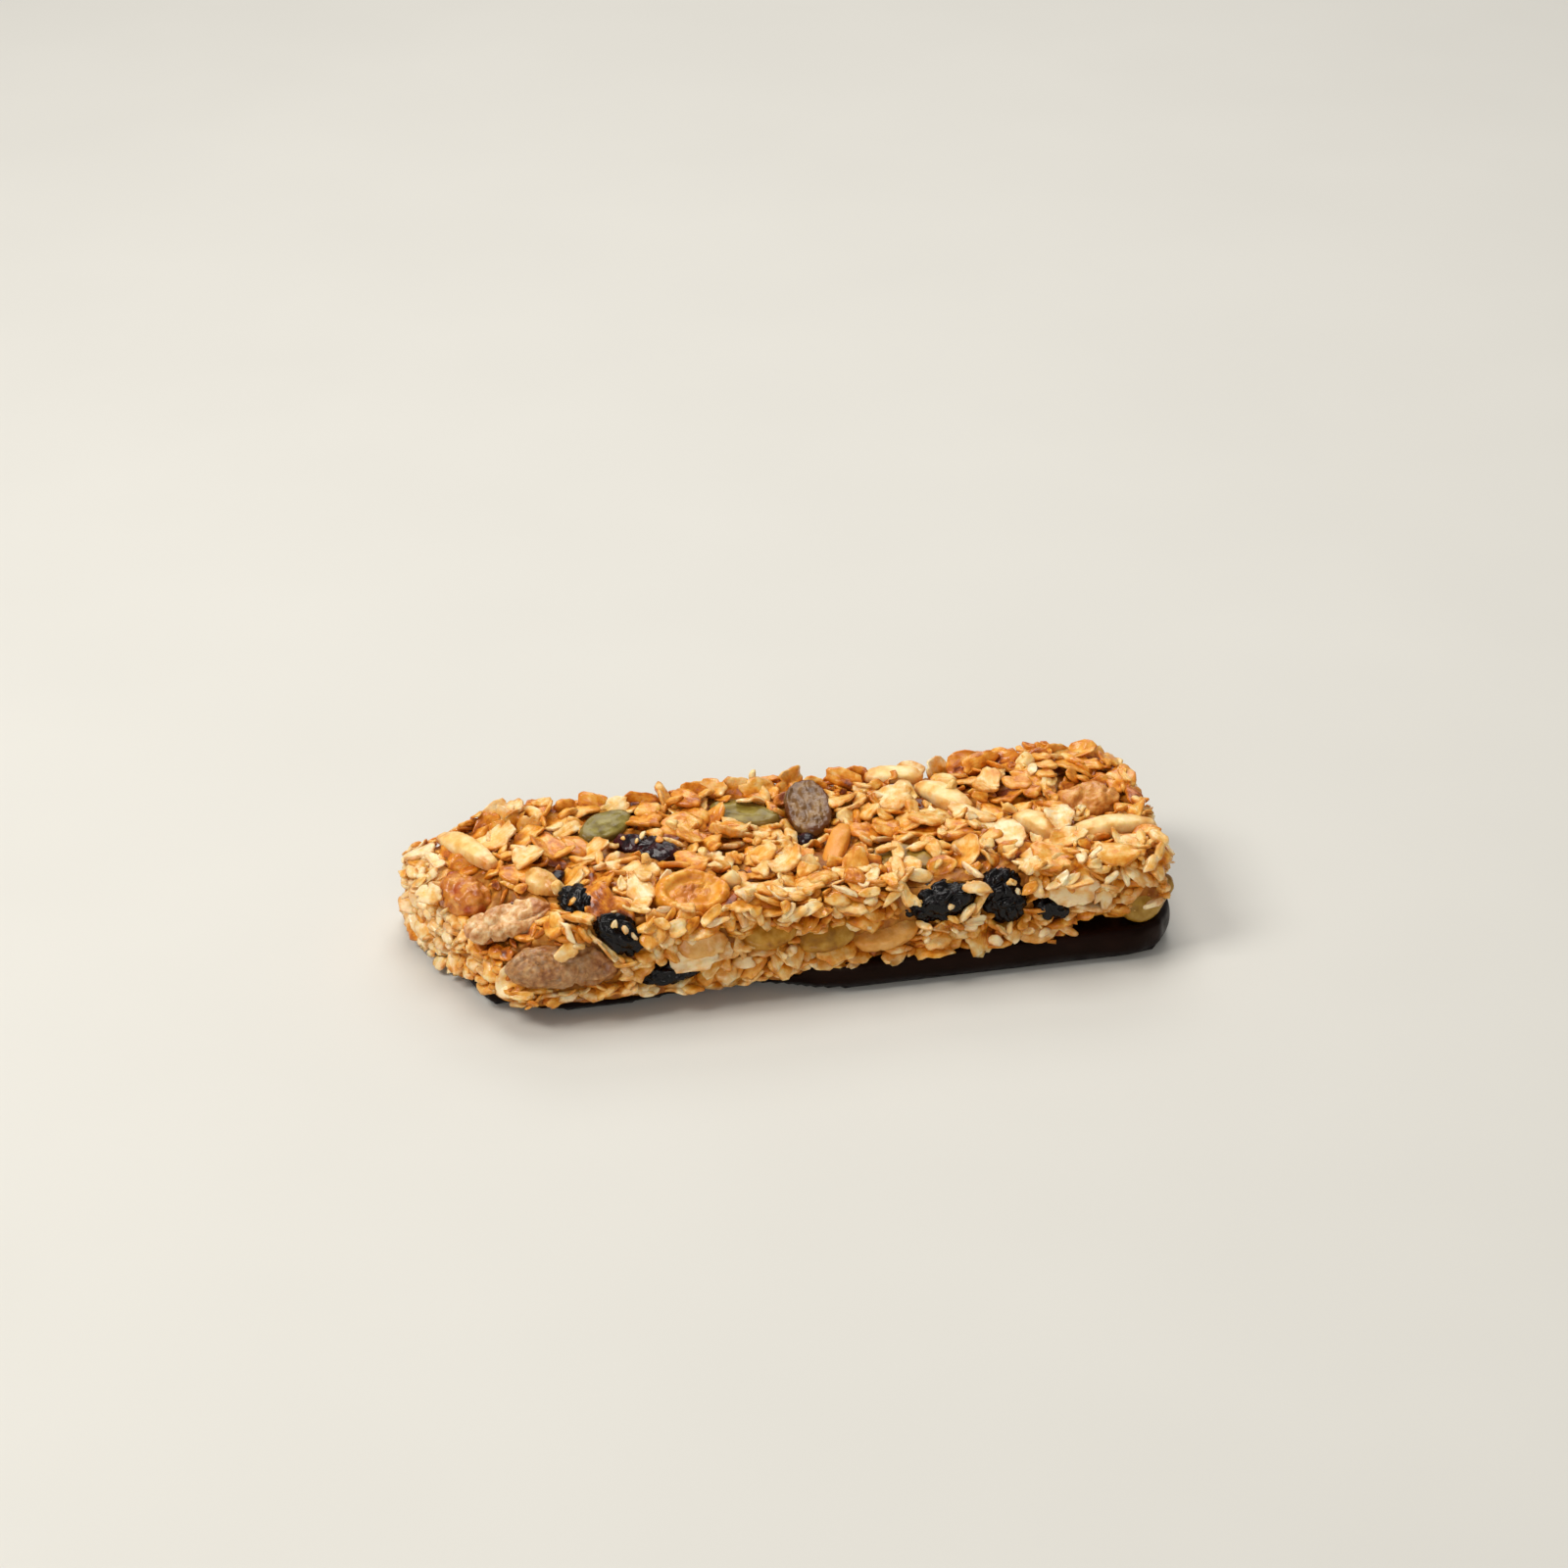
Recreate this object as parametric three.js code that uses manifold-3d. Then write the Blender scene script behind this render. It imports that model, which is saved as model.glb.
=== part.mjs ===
// A granola bar: a pressed slab of toasted oats on a base of dark chocolate, with dried fruit, seeds and
// nuts held in its top, sides and ends. Millimetres, +Z up, the bar's length along X and its front along
// -Y, with the origin at the middle of the flat face that the bar rests on.
import * as THREE from "three";
import { mergeVertices } from "three/addons/utils/BufferGeometryUtils.js";
import Module from "manifold-3d";

const wasm = await Module();
wasm.setup();

// ---- Driving dimensions, in millimetres ----
const LENGTH = 127;
const WIDTH = 42;
const TOP = 19.2; // height of the level part of the oat top
const GAP = 0.3; // air between a piece and the hollow that it sits in
const EDGE_ROUND = 3.6; // rounding of the oat slab's edges
const ROUGHNESS = 1.05; // how far oats stand out of the slab's smooth shape

const CHOCOLATE = {
  thin: 4.0, // thickness over the left half
  thick: 6.0, // thickness over the right half
  leftFall: 1.5, // how much thinner it is at the left end
  rightRise: 0.9, // and how much thicker at the right end
  ledge: 1.0, // how far it stands proud of the slab at the right end
  edgeRound: 1.6,
  setBack: 3.0, // how far its front edge lies behind the slab's on the left half
  cornerCut: 5.0, // extra set-back at the left front corner
  proud: 0.8, // how far it stands in front of the slab on the right half
  bay: 2.9, // extra set-back where the front edge curves in most
  bayAt: -15,
  bayReach: 9,
};

const LEFT_END = { inset: 12.5, reach: 27, straight: 14 }; // cut askew, so its front corner lies in
const RIGHT_END = { inset: 1.2, reach: 12 }; // slightly bowed
const LEFT_DIP = { drop: 3.4, reach: 16 }; // the top falls towards the left end
const CORNER_DIP = { drop: 2.8, from: -42, to: -58 }; // and more at its front corner
const RIGHT_HUMP = { rise: 2.2, at: 46, reach: 12 }; // and rises along the back near the right end

// ---- Small maths helpers ----
const clamp = (v, low, high) => Math.min(high, Math.max(low, v));
const mix = (a, b, t) => a + (b - a) * t;
const bell = (v) => Math.exp(-v * v);

function smoothstep(low, high, v) {
  const t = clamp((v - low) / (high - low), 0, 1);
  return t * t * (3 - 2 * t);
}

// A repeatable number from 0 to 1 for each point of a whole-number lattice.
function latticeValue(i, j, k) {
  const s = Math.sin(i * 127.1 + j * 311.7 + k * 74.7) * 43758.5453;
  return s - Math.floor(s);
}

// Smooth noise from -1 to 1 with features about one unit across.
function noise(x, y, z) {
  const [i, j, k] = [Math.floor(x), Math.floor(y), Math.floor(z)];
  const [u, v, w] = [x - i, y - j, z - k].map((t) => t * t * (3 - 2 * t));
  const row = (b, c) => mix(latticeValue(i, j + b, k + c), latticeValue(i + 1, j + b, k + c), u);
  const layer = (c) => mix(row(0, c), row(1, c), v);
  return 2 * mix(layer(0), layer(1), w) - 1;
}

// ---- Solids ----
function closedMesh(geometry) {
  const bare = geometry.clone();
  bare.deleteAttribute("normal");
  bare.deleteAttribute("uv");
  return mergeVertices(bare, 1e-4);
}

function toSolid(geometry) {
  const merged = closedMesh(geometry);
  const mesh = new wasm.Mesh({
    numProp: 3,
    vertProperties: new Float32Array(merged.attributes.position.array),
    triVerts: new Uint32Array(merged.index.array),
  });
  return new wasm.Manifold(mesh);
}

// The largest body of a solid, so that no loose crumb is left by a cut.
function largestBody(solid) {
  return solid.decompose().reduce((a, b) => (a.volume() > b.volume() ? a : b));
}

function toGeometry(solid) {
  const mesh = solid.getMesh();
  const geometry = new THREE.BufferGeometry();
  geometry.setAttribute("position", new THREE.BufferAttribute(mesh.vertProperties, 3));
  geometry.setIndex(new THREE.BufferAttribute(mesh.triVerts, 1));
  geometry.computeVertexNormals();
  return geometry;
}

// Moves every vertex of a geometry by a function of its place.
function reshape(geometry, move) {
  const merged = closedMesh(geometry);
  const places = merged.attributes.position;
  const p = new THREE.Vector3();
  for (let i = 0; i < places.count; i++) {
    move(p.fromBufferAttribute(places, i));
    places.setXYZ(i, p.x, p.y, p.z);
  }
  merged.computeVertexNormals();
  return merged;
}

// Rounds the edges of a box of the given half sizes, centred at the origin.
function roundBoxPoint(p, half, radius) {
  const inner = new THREE.Vector3(
    clamp(p.x, radius - half.x, half.x - radius),
    clamp(p.y, radius - half.y, half.y - radius),
    clamp(p.z, radius - half.z, half.z - radius),
  );
  const out = p.clone().sub(inner);
  const reach = Math.max(Math.abs(out.x), Math.abs(out.y), Math.abs(out.z));
  if (reach > 0) p.copy(inner).addScaledVector(out, reach / out.length());
}

// ---- The bar's outline ----
function bendEnds(p) {
  const front = clamp((LEFT_END.straight - p.y) / (LEFT_END.straight + WIDTH / 2), 0, 1);
  const nearLeft = smoothstep(LEFT_END.reach - LENGTH / 2, -LENGTH / 2, p.x);
  const side = Math.abs(p.y) / (WIDTH / 2);
  const nearRight = smoothstep(LENGTH / 2 - RIGHT_END.reach, LENGTH / 2, p.x);
  p.x += LEFT_END.inset * front ** 1.5 * nearLeft;
  p.x -= RIGHT_END.inset * side ** 3 * nearRight;
}

function topHeight(x, y) {
  const dip = LEFT_DIP.drop * smoothstep(LEFT_DIP.reach - LENGTH / 2, -LENGTH / 2, x);
  const corner = CORNER_DIP.drop * smoothstep(CORNER_DIP.from, CORNER_DIP.to, x) * smoothstep(2, -14, y);
  const hump = RIGHT_HUMP.rise * bell((x - RIGHT_HUMP.at) / RIGHT_HUMP.reach) * smoothstep(-6, 14, y);
  return TOP - dip - corner + hump;
}

function chocolateThickness(x, y) {
  const level = mix(CHOCOLATE.thin, CHOCOLATE.thick, smoothstep(-16, 10, x));
  const ends = CHOCOLATE.rightRise * smoothstep(38, 60, x) - CHOCOLATE.leftFall * smoothstep(-46, -62, x);
  return level + ends + 0.3 * Math.sin(x / 7.3) * Math.cos(y / 9);
}

// How far the chocolate's front edge lies behind the slab's front, negative where it stands proud.
function chocolateSetBack(x) {
  const step = mix(CHOCOLATE.setBack, -CHOCOLATE.proud, smoothstep(-8, 6, x));
  const bay = CHOCOLATE.bay * bell((x - CHOCOLATE.bayAt) / CHOCOLATE.bayReach);
  return step + bay + CHOCOLATE.cornerCut * smoothstep(-45, -61, x);
}

// ---- The chocolate base ----
function chocolateBase() {
  const half = new THREE.Vector3((LENGTH + CHOCOLATE.ledge) / 2, WIDTH / 2, CHOCOLATE.thick / 2);
  const block = new THREE.BoxGeometry(2 * half.x, 2 * half.y, 2 * half.z, 22, 5, 2);
  return reshape(block, (p) => {
    roundBoxPoint(p, half, CHOCOLATE.edgeRound);
    p.x += CHOCOLATE.ledge / 2;
    const height = (p.z + half.z) / (2 * half.z);
    const frontShare = clamp(-p.y / half.y, 0, 1);
    const backWave = 0.8 * Math.sin(p.x / 9) * clamp(p.y / half.y, 0, 1);
    p.y += chocolateSetBack(p.x) * frontShare + backWave;
    bendEnds(p);
    p.z = height * chocolateThickness(p.x, p.y);
  });
}

// Everything below the chocolate's top, and the gap above it, out past the bar's edges.
function spaceForChocolate() {
  const margin = 8;
  const depth = 6;
  const block = new THREE.BoxGeometry(LENGTH + 2 * margin, WIDTH + 2 * margin, 1, 22, 2, 1);
  return reshape(block, (p) => {
    p.z = p.z > 0 ? chocolateThickness(p.x, p.y) + GAP : -depth;
  });
}

// ---- The oat slab ----
function oatSlab() {
  const half = new THREE.Vector3(LENGTH / 2, WIDTH / 2, TOP / 2);
  const block = new THREE.BoxGeometry(LENGTH, WIDTH, TOP, 27, 10, 5);
  return reshape(block, (p) => {
    roundBoxPoint(p, half, EDGE_ROUND);
    const outward = new THREE.Vector3(p.x / half.x, p.y / half.y, p.z / half.z);
    outward.set(outward.x ** 9, outward.y ** 5, Math.max(0, outward.z) ** 3).normalize();
    const lumps = noise(p.x / 4.6, p.y / 4.6, p.z / 3.4);
    const grain = noise(p.x / 2.3 + 40, p.y / 2.3, p.z / 2.1);
    p.z = ((p.z + half.z) / (2 * half.z)) * topHeight(p.x, p.y);
    p.addScaledVector(outward, ROUGHNESS * (0.75 * lumps + 0.45 * grain));
    bendEnds(p);
  });
}

// ---- What is set in the oats: each shape is made along X, with its flat side up ----
// Its hollow is cut with a coarser copy, made a little larger to clear it.
const HOLLOW_SLACK = 1.18;
const ball = (around, along) => new THREE.SphereGeometry(0.5, around, along).rotateZ(Math.PI / 2);
const ballFor = (coarse, fine = 10) => (coarse ? ball(7, 4) : ball(fine, Math.round(0.7 * fine)));

// A dried berry, wrinkled along its length.
function driedFruit({ length, width, height, folds = 5, depth = 0.13, phase = 0 }, coarse) {
  return reshape(ballFor(coarse), (p) => {
    const around = Math.atan2(p.z, p.y);
    const fold = Math.cos(folds * around + 5 * p.x + phase) + 0.6 * Math.sin(9 * p.x + 2 * around + phase);
    const shrink = 1 - depth * 0.5 * (1 + fold / 1.6) * (1 - 2 * Math.abs(p.x));
    p.set(p.x * length, p.y * width * shrink, p.z * height * shrink);
  });
}

// A shelled pumpkin seed: a flat drop with a blunt rim, its point towards +X.
function pumpkinSeed({ length, width, height }, coarse) {
  return reshape(ballFor(coarse), (p) => {
    const taper = 1 - 0.34 * (p.x + 0.5) ** 1.5;
    const blunt = Math.sign(p.z) * Math.abs(2 * p.z) ** 0.75 / 2;
    p.set(p.x * length, p.y * width * taper * 1.08, blunt * height);
  });
}

// A piece of walnut kernel, lobed on top and flatter below.
function walnutPiece({ length, width, height, phase = 0 }, coarse) {
  return reshape(ballFor(coarse, 11), (p) => {
    const ridge = Math.sin(13 * p.x + phase) * Math.cos(7 * p.y - phase) + 0.5 * Math.sin(19 * p.x + 9 * p.y);
    const swell = coarse ? 1.1 : 1 + 0.12 * ridge * (1 - 1.6 * Math.abs(p.x));
    const boxy = 1 + 0.35 * (Math.abs(p.x) * 2) ** 2;
    const below = p.z < 0 ? 0.8 : 1;
    p.set(p.x * length, p.y * width * swell * boxy, p.z * height * swell * boxy * below);
  });
}

// A slivered almond: a squared stick, narrower at both ends.
function almondSliver({ length, width, height, bow = 0.05 }, coarse) {
  const stick = coarse ? new THREE.BoxGeometry(1, 1, 1, 4, 1, 1) : new THREE.BoxGeometry(1, 1, 1, 5, 2, 2);
  return reshape(stick, (p) => {
    const t = 2 * p.x;
    const narrow = 1 - 0.42 * Math.abs(t) ** 2.6;
    const soften = coarse ? 1 : 1 - 0.16 * (4 * p.y * p.z) ** 2;
    p.set(p.x * length, p.y * width * narrow * soften, p.z * height * narrow * soften + bow * length * (1 - t * t));
  });
}

// Half a nut, split flat, its round side towards -Z.
function nutHalf({ length, width, height }, coarse) {
  return reshape(ballFor(coarse, 11), (p) => {
    const crease = 0.1 * bell(p.y / 0.1);
    const flat = Math.min(p.z, 0.12 - crease) + 0.19;
    p.set(p.x * length, p.y * width * (1 - 0.2 * p.x), flat * height * 1.45);
  });
}

// A thick dried chip with a raised wavy rim round a sunken middle.
function driedChip({ length, width, height }, coarse) {
  if (coarse) return new THREE.CylinderGeometry(0.5, 0.5, 1, 10).rotateX(Math.PI / 2).scale(length, width, height);
  const rim = 0.5;
  const profile = [
    [0, 0],
    [0.32, -0.04],
    [0.46, 0.08],
    [rim, 0.45],
    [0.45, 0.86],
    [0.36, 0.9],
    [0.24, 0.5],
    [0, 0.42],
  ].map(([r, z]) => new THREE.Vector2(r, z));
  const disc = new THREE.LatheGeometry(profile, 12).rotateX(Math.PI / 2);
  return reshape(disc, (p) => {
    const around = Math.atan2(p.y, p.x);
    const wave = 0.13 * Math.cos(3 * around + 0.6) * Math.hypot(p.x, p.y) * 2;
    p.set(p.x * length, p.y * width, (p.z + wave - 0.45) * height);
  });
}

// ---- Colours ----
const finish = (color, roughness) => new THREE.MeshStandardMaterial({ color, roughness, metalness: 0 });
const FINISH = {
  oats: finish(0xd6a05a, 0.6),
  chocolate: finish(0x1d0f0b, 0.35),
  raisin: finish(0x120d14, 0.35),
  cranberry: finish(0x3a0d18, 0.3),
  seed: finish(0x7d7a34, 0.45),
  roastedSeed: finish(0x5c4a35, 0.4),
  walnut: finish(0xa9744a, 0.6),
  almondSkin: finish(0x9c5527, 0.6),
  almond: finish(0xf0cf94, 0.5),
  peanut: finish(0xd9a354, 0.5),
  chip: finish(0xd8912f, 0.45),
};

// Each entry gives a piece's centre, its heading about Z, its pitch about Y and its roll about X in
// degrees, and its sizes before it is turned.
const RAISINS = [
  { at: [-38.2, -11.0, 17.2], turn: [-60, 0, 0], length: 8.2, width: 6.4, height: 6 },
  { at: [-33.0, -18.6, 14.9], turn: [0, 42, 0], length: 9.8, width: 6.4, height: 6.6, phase: 2 },
  { at: [21.6, -18.4, 14.5], turn: [0, -8, 0], length: 12.4, width: 7, height: 7.2, phase: 1 },
  { at: [32.8, -18.2, 13.8], turn: [0, 68, 0], length: 9.8, width: 7.4, height: 8.4, phase: 4 },
  { at: [-24.7, -18.6, 7.4], turn: [0, -3, 0], length: 11.6, width: 6.4, height: 5, phase: 3 },
  { at: [40.9, -18.8, 11.2], turn: [0, 20, 0], length: 6.4, width: 6, height: 5, phase: 5 },
  { at: [-8.5, 18.2, 12.4], turn: [0, 15, 0], length: 10.5, width: 7, height: 6.6, phase: 2 },
  { at: [43.5, 18.2, 10.6], turn: [0, -24, 0], length: 11.5, width: 6.6, height: 6.8, phase: 1 },
  { at: [60.6, 4.6, 11.4], turn: [82, 30, 0], length: 9.6, width: 6.4, height: 6.4, phase: 6 },
];
const CRANBERRIES = [
  { at: [-23.6, 2.8, 17.6], turn: [-46, 0, 8], length: 14.5, width: 7.4, height: 5.6, folds: 4 },
  { at: [-25.5, 18.4, 10.4], turn: [6, 12, 0], length: 12.5, width: 6.2, height: 6.4, folds: 4 },
];
const ROASTED_SEEDS = [{ at: [5.4, 9.0, 19.2], turn: [-94, 14, 4], length: 14, width: 8.4, height: 3.3 }];
const GREEN_SEEDS = [
  { at: [-5.2, 11.4, 17.9], turn: [-34, 0, 10], length: 13, width: 7.4, height: 2.9 },
  { at: [18.0, -10.3, 17.9], turn: [-24, 0, 16], length: 12.6, width: 7, height: 3 },
  { at: [-29.4, 11.4, 18.6], turn: [38, 0, 12], length: 12, width: 6.4, height: 2.8 },
  { at: [58.6, -17.2, 9.8], turn: [22, -18, 72], length: 11, width: 7.4, height: 3.1 },
  { at: [-7.6, -19.6, 12.2], turn: [0, -9, 40], length: 9.6, width: 5.6, height: 2.7 },
  { at: [2.0, -19.5, 10.6], turn: [0, -8, 42], length: 10.4, width: 5.6, height: 2.7 },
  { at: [-45.5, 19.2, 10.8], turn: [178, 6, 66], length: 12.6, width: 7.2, height: 3 },
  { at: [12.5, 19.4, 10.2], turn: [2, 10, -52], length: 12, width: 6.8, height: 2.9 },
];
const WALNUTS = [
  { at: [-42.6, -18.8, 9.9], turn: [1, 4, 0], length: 19.4, width: 6.4, height: 8.6 },
  { at: [-50.0, -9.8, 14.5], turn: [0, -10, 0], length: 16, width: 6.6, height: 6, phase: 2 },
  { at: [27.0, 18.6, 13.0], turn: [6, 0, 0], length: 16, width: 7.4, height: 6.6, phase: 4 },
];
const SKINNED_ALMONDS = [
  { at: [-55.8, 0.4, 14.3], turn: [-66, 0, 0], length: 11, width: 7.6, height: 6.6, phase: 1 },
  { at: [53.2, 2.0, 18.2], turn: [10, 0, 0], length: 12, width: 8.4, height: 6.4, phase: 3 },
];
const SLIVERS = [
  { at: [-53.6, 11.2, 17.0], turn: [-66, -6, 10], length: 16, width: 3.9, height: 3.2 },
  { at: [54.4, -8.4, 18.3], turn: [2, 0, 0], length: 15.8, width: 4.2, height: 3.4 },
  { at: [29.4, 8.7, 18.6], turn: [-58, 0, 8], length: 12, width: 4.4, height: 3.3 },
  { at: [7.6, -3.2, 17.6], turn: [-116, 10, 0], length: 12, width: 3.8, height: 3.2 },
  { at: [42.6, -4.4, 18.3], turn: [-60, 0, 0], length: 9.8, width: 4.4, height: 3.6 },
  { at: [22.8, 17.2, 19.1], turn: [-14, 0, 12], length: 10, width: 3.8, height: 2.4 },
];
const NUT_HALVES = [
  { at: [12.4, -18.9, 8.9], turn: [0, -8, 30], length: 12, width: 6, height: 4.4 },
  { at: [-43.2, -3.2, 18.0], turn: [-60, 0, 160], length: 8.2, width: 5.4, height: 4.6 },
  { at: [-19.2, -20.2, 12.2], turn: [0, -4, 62], length: 8.4, width: 5.2, height: 2.4 },
];
const CHIPS = [{ at: [-19.8, -14.2, 18.1], turn: [-3, 0, 22], length: 13.4, width: 9.2, height: 3.4 }];

const KINDS = [
  { name: "raisin", pieces: RAISINS, shape: driedFruit, material: FINISH.raisin },
  { name: "cranberry", pieces: CRANBERRIES, shape: driedFruit, material: FINISH.cranberry },
  { name: "roasted_seed", pieces: ROASTED_SEEDS, shape: pumpkinSeed, material: FINISH.roastedSeed },
  { name: "green_seed", pieces: GREEN_SEEDS, shape: pumpkinSeed, material: FINISH.seed },
  { name: "walnut", pieces: WALNUTS, shape: walnutPiece, material: FINISH.walnut },
  { name: "skinned_almond", pieces: SKINNED_ALMONDS, shape: walnutPiece, material: FINISH.almondSkin },
  { name: "almond_sliver", pieces: SLIVERS, shape: almondSliver, material: FINISH.almond },
  { name: "nut_half", pieces: NUT_HALVES, shape: nutHalf, material: FINISH.peanut },
  { name: "fruit_chip", pieces: CHIPS, shape: driedChip, material: FINISH.chip },
];

// ---- Assembly ----
const bar = new THREE.Group();
bar.name = "granola_bar";
const hollows = [];

for (const { name, pieces, shape, material } of KINDS) {
  pieces.forEach((piece, i) => {
    const mesh = new THREE.Mesh(shape(piece), material);
    const [heading, pitch, roll] = piece.turn.map(THREE.MathUtils.degToRad);
    mesh.name = `${name}_${i + 1}`;
    mesh.position.set(...piece.at);
    mesh.rotation.set(roll, pitch, heading, "ZYX");
    mesh.updateMatrix();
    bar.add(mesh);

    const grow = (size) => HOLLOW_SLACK + (2 * GAP) / size;
    const hollow = shape(piece, true);
    hollow.scale(grow(piece.length), grow(piece.width), grow(piece.height));
    hollows.push(toSolid(hollow.applyMatrix4(mesh.matrix)));
  });
}

const hollow = hollows.reduce((a, b) => a.add(b));
const base = toSolid(chocolateBase()).subtract(hollow);
const slab = toSolid(oatSlab()).subtract(toSolid(spaceForChocolate())).subtract(hollow);

const chocolate = new THREE.Mesh(toGeometry(largestBody(base)), FINISH.chocolate);
chocolate.name = "chocolate_base";
bar.add(chocolate);

const granola = new THREE.Mesh(toGeometry(largestBody(slab)), FINISH.oats);
granola.name = "granola";
bar.add(granola);

export default bar;
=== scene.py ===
"""A granola bar's looks: toasted oat flakes packed over a core, on a dark chocolate base, with dried fruit,
seeds and nuts set in them. Shapes are worked out in millimetres, and a mesh is made in metres."""
import math
from itertools import product

import bpy
import numpy as np
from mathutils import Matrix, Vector
from mathutils.bvhtree import BVHTree
from mathutils.kdtree import KDTree


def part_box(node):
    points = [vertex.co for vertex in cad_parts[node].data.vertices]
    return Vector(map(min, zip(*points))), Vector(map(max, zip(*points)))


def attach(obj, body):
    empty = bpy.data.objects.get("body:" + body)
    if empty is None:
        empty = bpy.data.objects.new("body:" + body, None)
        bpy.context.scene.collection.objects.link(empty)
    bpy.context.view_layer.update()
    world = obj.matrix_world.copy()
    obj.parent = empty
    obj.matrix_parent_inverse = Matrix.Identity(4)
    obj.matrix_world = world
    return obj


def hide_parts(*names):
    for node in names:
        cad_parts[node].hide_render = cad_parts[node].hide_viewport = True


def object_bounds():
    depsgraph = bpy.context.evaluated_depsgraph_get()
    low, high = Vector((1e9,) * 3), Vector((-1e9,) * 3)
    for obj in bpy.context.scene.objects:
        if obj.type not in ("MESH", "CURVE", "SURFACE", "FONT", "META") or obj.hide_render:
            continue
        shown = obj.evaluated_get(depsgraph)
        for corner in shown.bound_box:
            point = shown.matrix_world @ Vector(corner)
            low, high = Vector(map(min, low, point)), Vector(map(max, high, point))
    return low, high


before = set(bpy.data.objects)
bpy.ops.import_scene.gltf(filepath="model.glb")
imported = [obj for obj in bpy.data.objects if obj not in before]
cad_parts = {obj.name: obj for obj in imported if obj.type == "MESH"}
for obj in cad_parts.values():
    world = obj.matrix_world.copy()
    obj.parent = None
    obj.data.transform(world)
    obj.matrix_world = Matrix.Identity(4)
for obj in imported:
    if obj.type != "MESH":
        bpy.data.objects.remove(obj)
cad_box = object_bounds()

MM = 0.001
TAU = 2 * math.pi
SEED = 20
CELL = 0.5  # step of the height maps, in millimetres
REACH = 200.0  # how far outside the bar a ray starts

# ---- Camera, lights and floor ----
VIEW_AZIMUTH, VIEW_ELEVATION = math.radians(-13), math.radians(29.5)
CAMERA_DISTANCE = 0.745
CAMERA_LENS = 100
CAMERA_AIM = Vector((0.00107, 0.00840, 0.02488))
BAR_MIDDLE = Vector((0, 0, 0.010))


def towards(azimuth, elevation):
    """The direction from the bar to a viewer or a lamp at these angles."""
    level = math.cos(elevation)
    return Vector((math.sin(azimuth) * level, -math.cos(azimuth) * level, math.sin(elevation)))


def aim(thing, target):
    thing.rotation_euler = (target - thing.location).to_track_quat("-Z", "Y").to_euler()


def add_camera():
    camera = bpy.data.objects.new("camera", bpy.data.cameras.new("camera"))
    camera.data.lens = CAMERA_LENS
    camera.data.clip_start, camera.data.clip_end = 0.01, 20
    camera.location = BAR_MIDDLE + CAMERA_DISTANCE * towards(VIEW_AZIMUTH, VIEW_ELEVATION)
    aim(camera, CAMERA_AIM)
    bpy.context.scene.collection.objects.link(camera)
    bpy.context.scene.camera = camera


def add_softbox(name, azimuth, elevation, distance, size, power, colour):
    data = bpy.data.lights.new(name, "AREA")
    data.shape, data.size, data.size_y = "RECTANGLE", size[0], size[1]
    data.energy, data.color = power, colour
    lamp = bpy.data.objects.new(name, data)
    lamp.location = distance * towards(math.radians(azimuth), math.radians(elevation))
    aim(lamp, BAR_MIDDLE)
    bpy.context.scene.collection.objects.link(lamp)


# ---- Materials ----
def srgb(code):
    """A colour as Blender takes it, from its six-digit code."""
    parts = [int(code[i : i + 2], 16) / 255 for i in (0, 2, 4)]
    linear = [c / 12.92 if c <= 0.04045 else ((c + 0.055) / 1.055) ** 2.4 for c in parts]
    return (*linear, 1.0)


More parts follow.
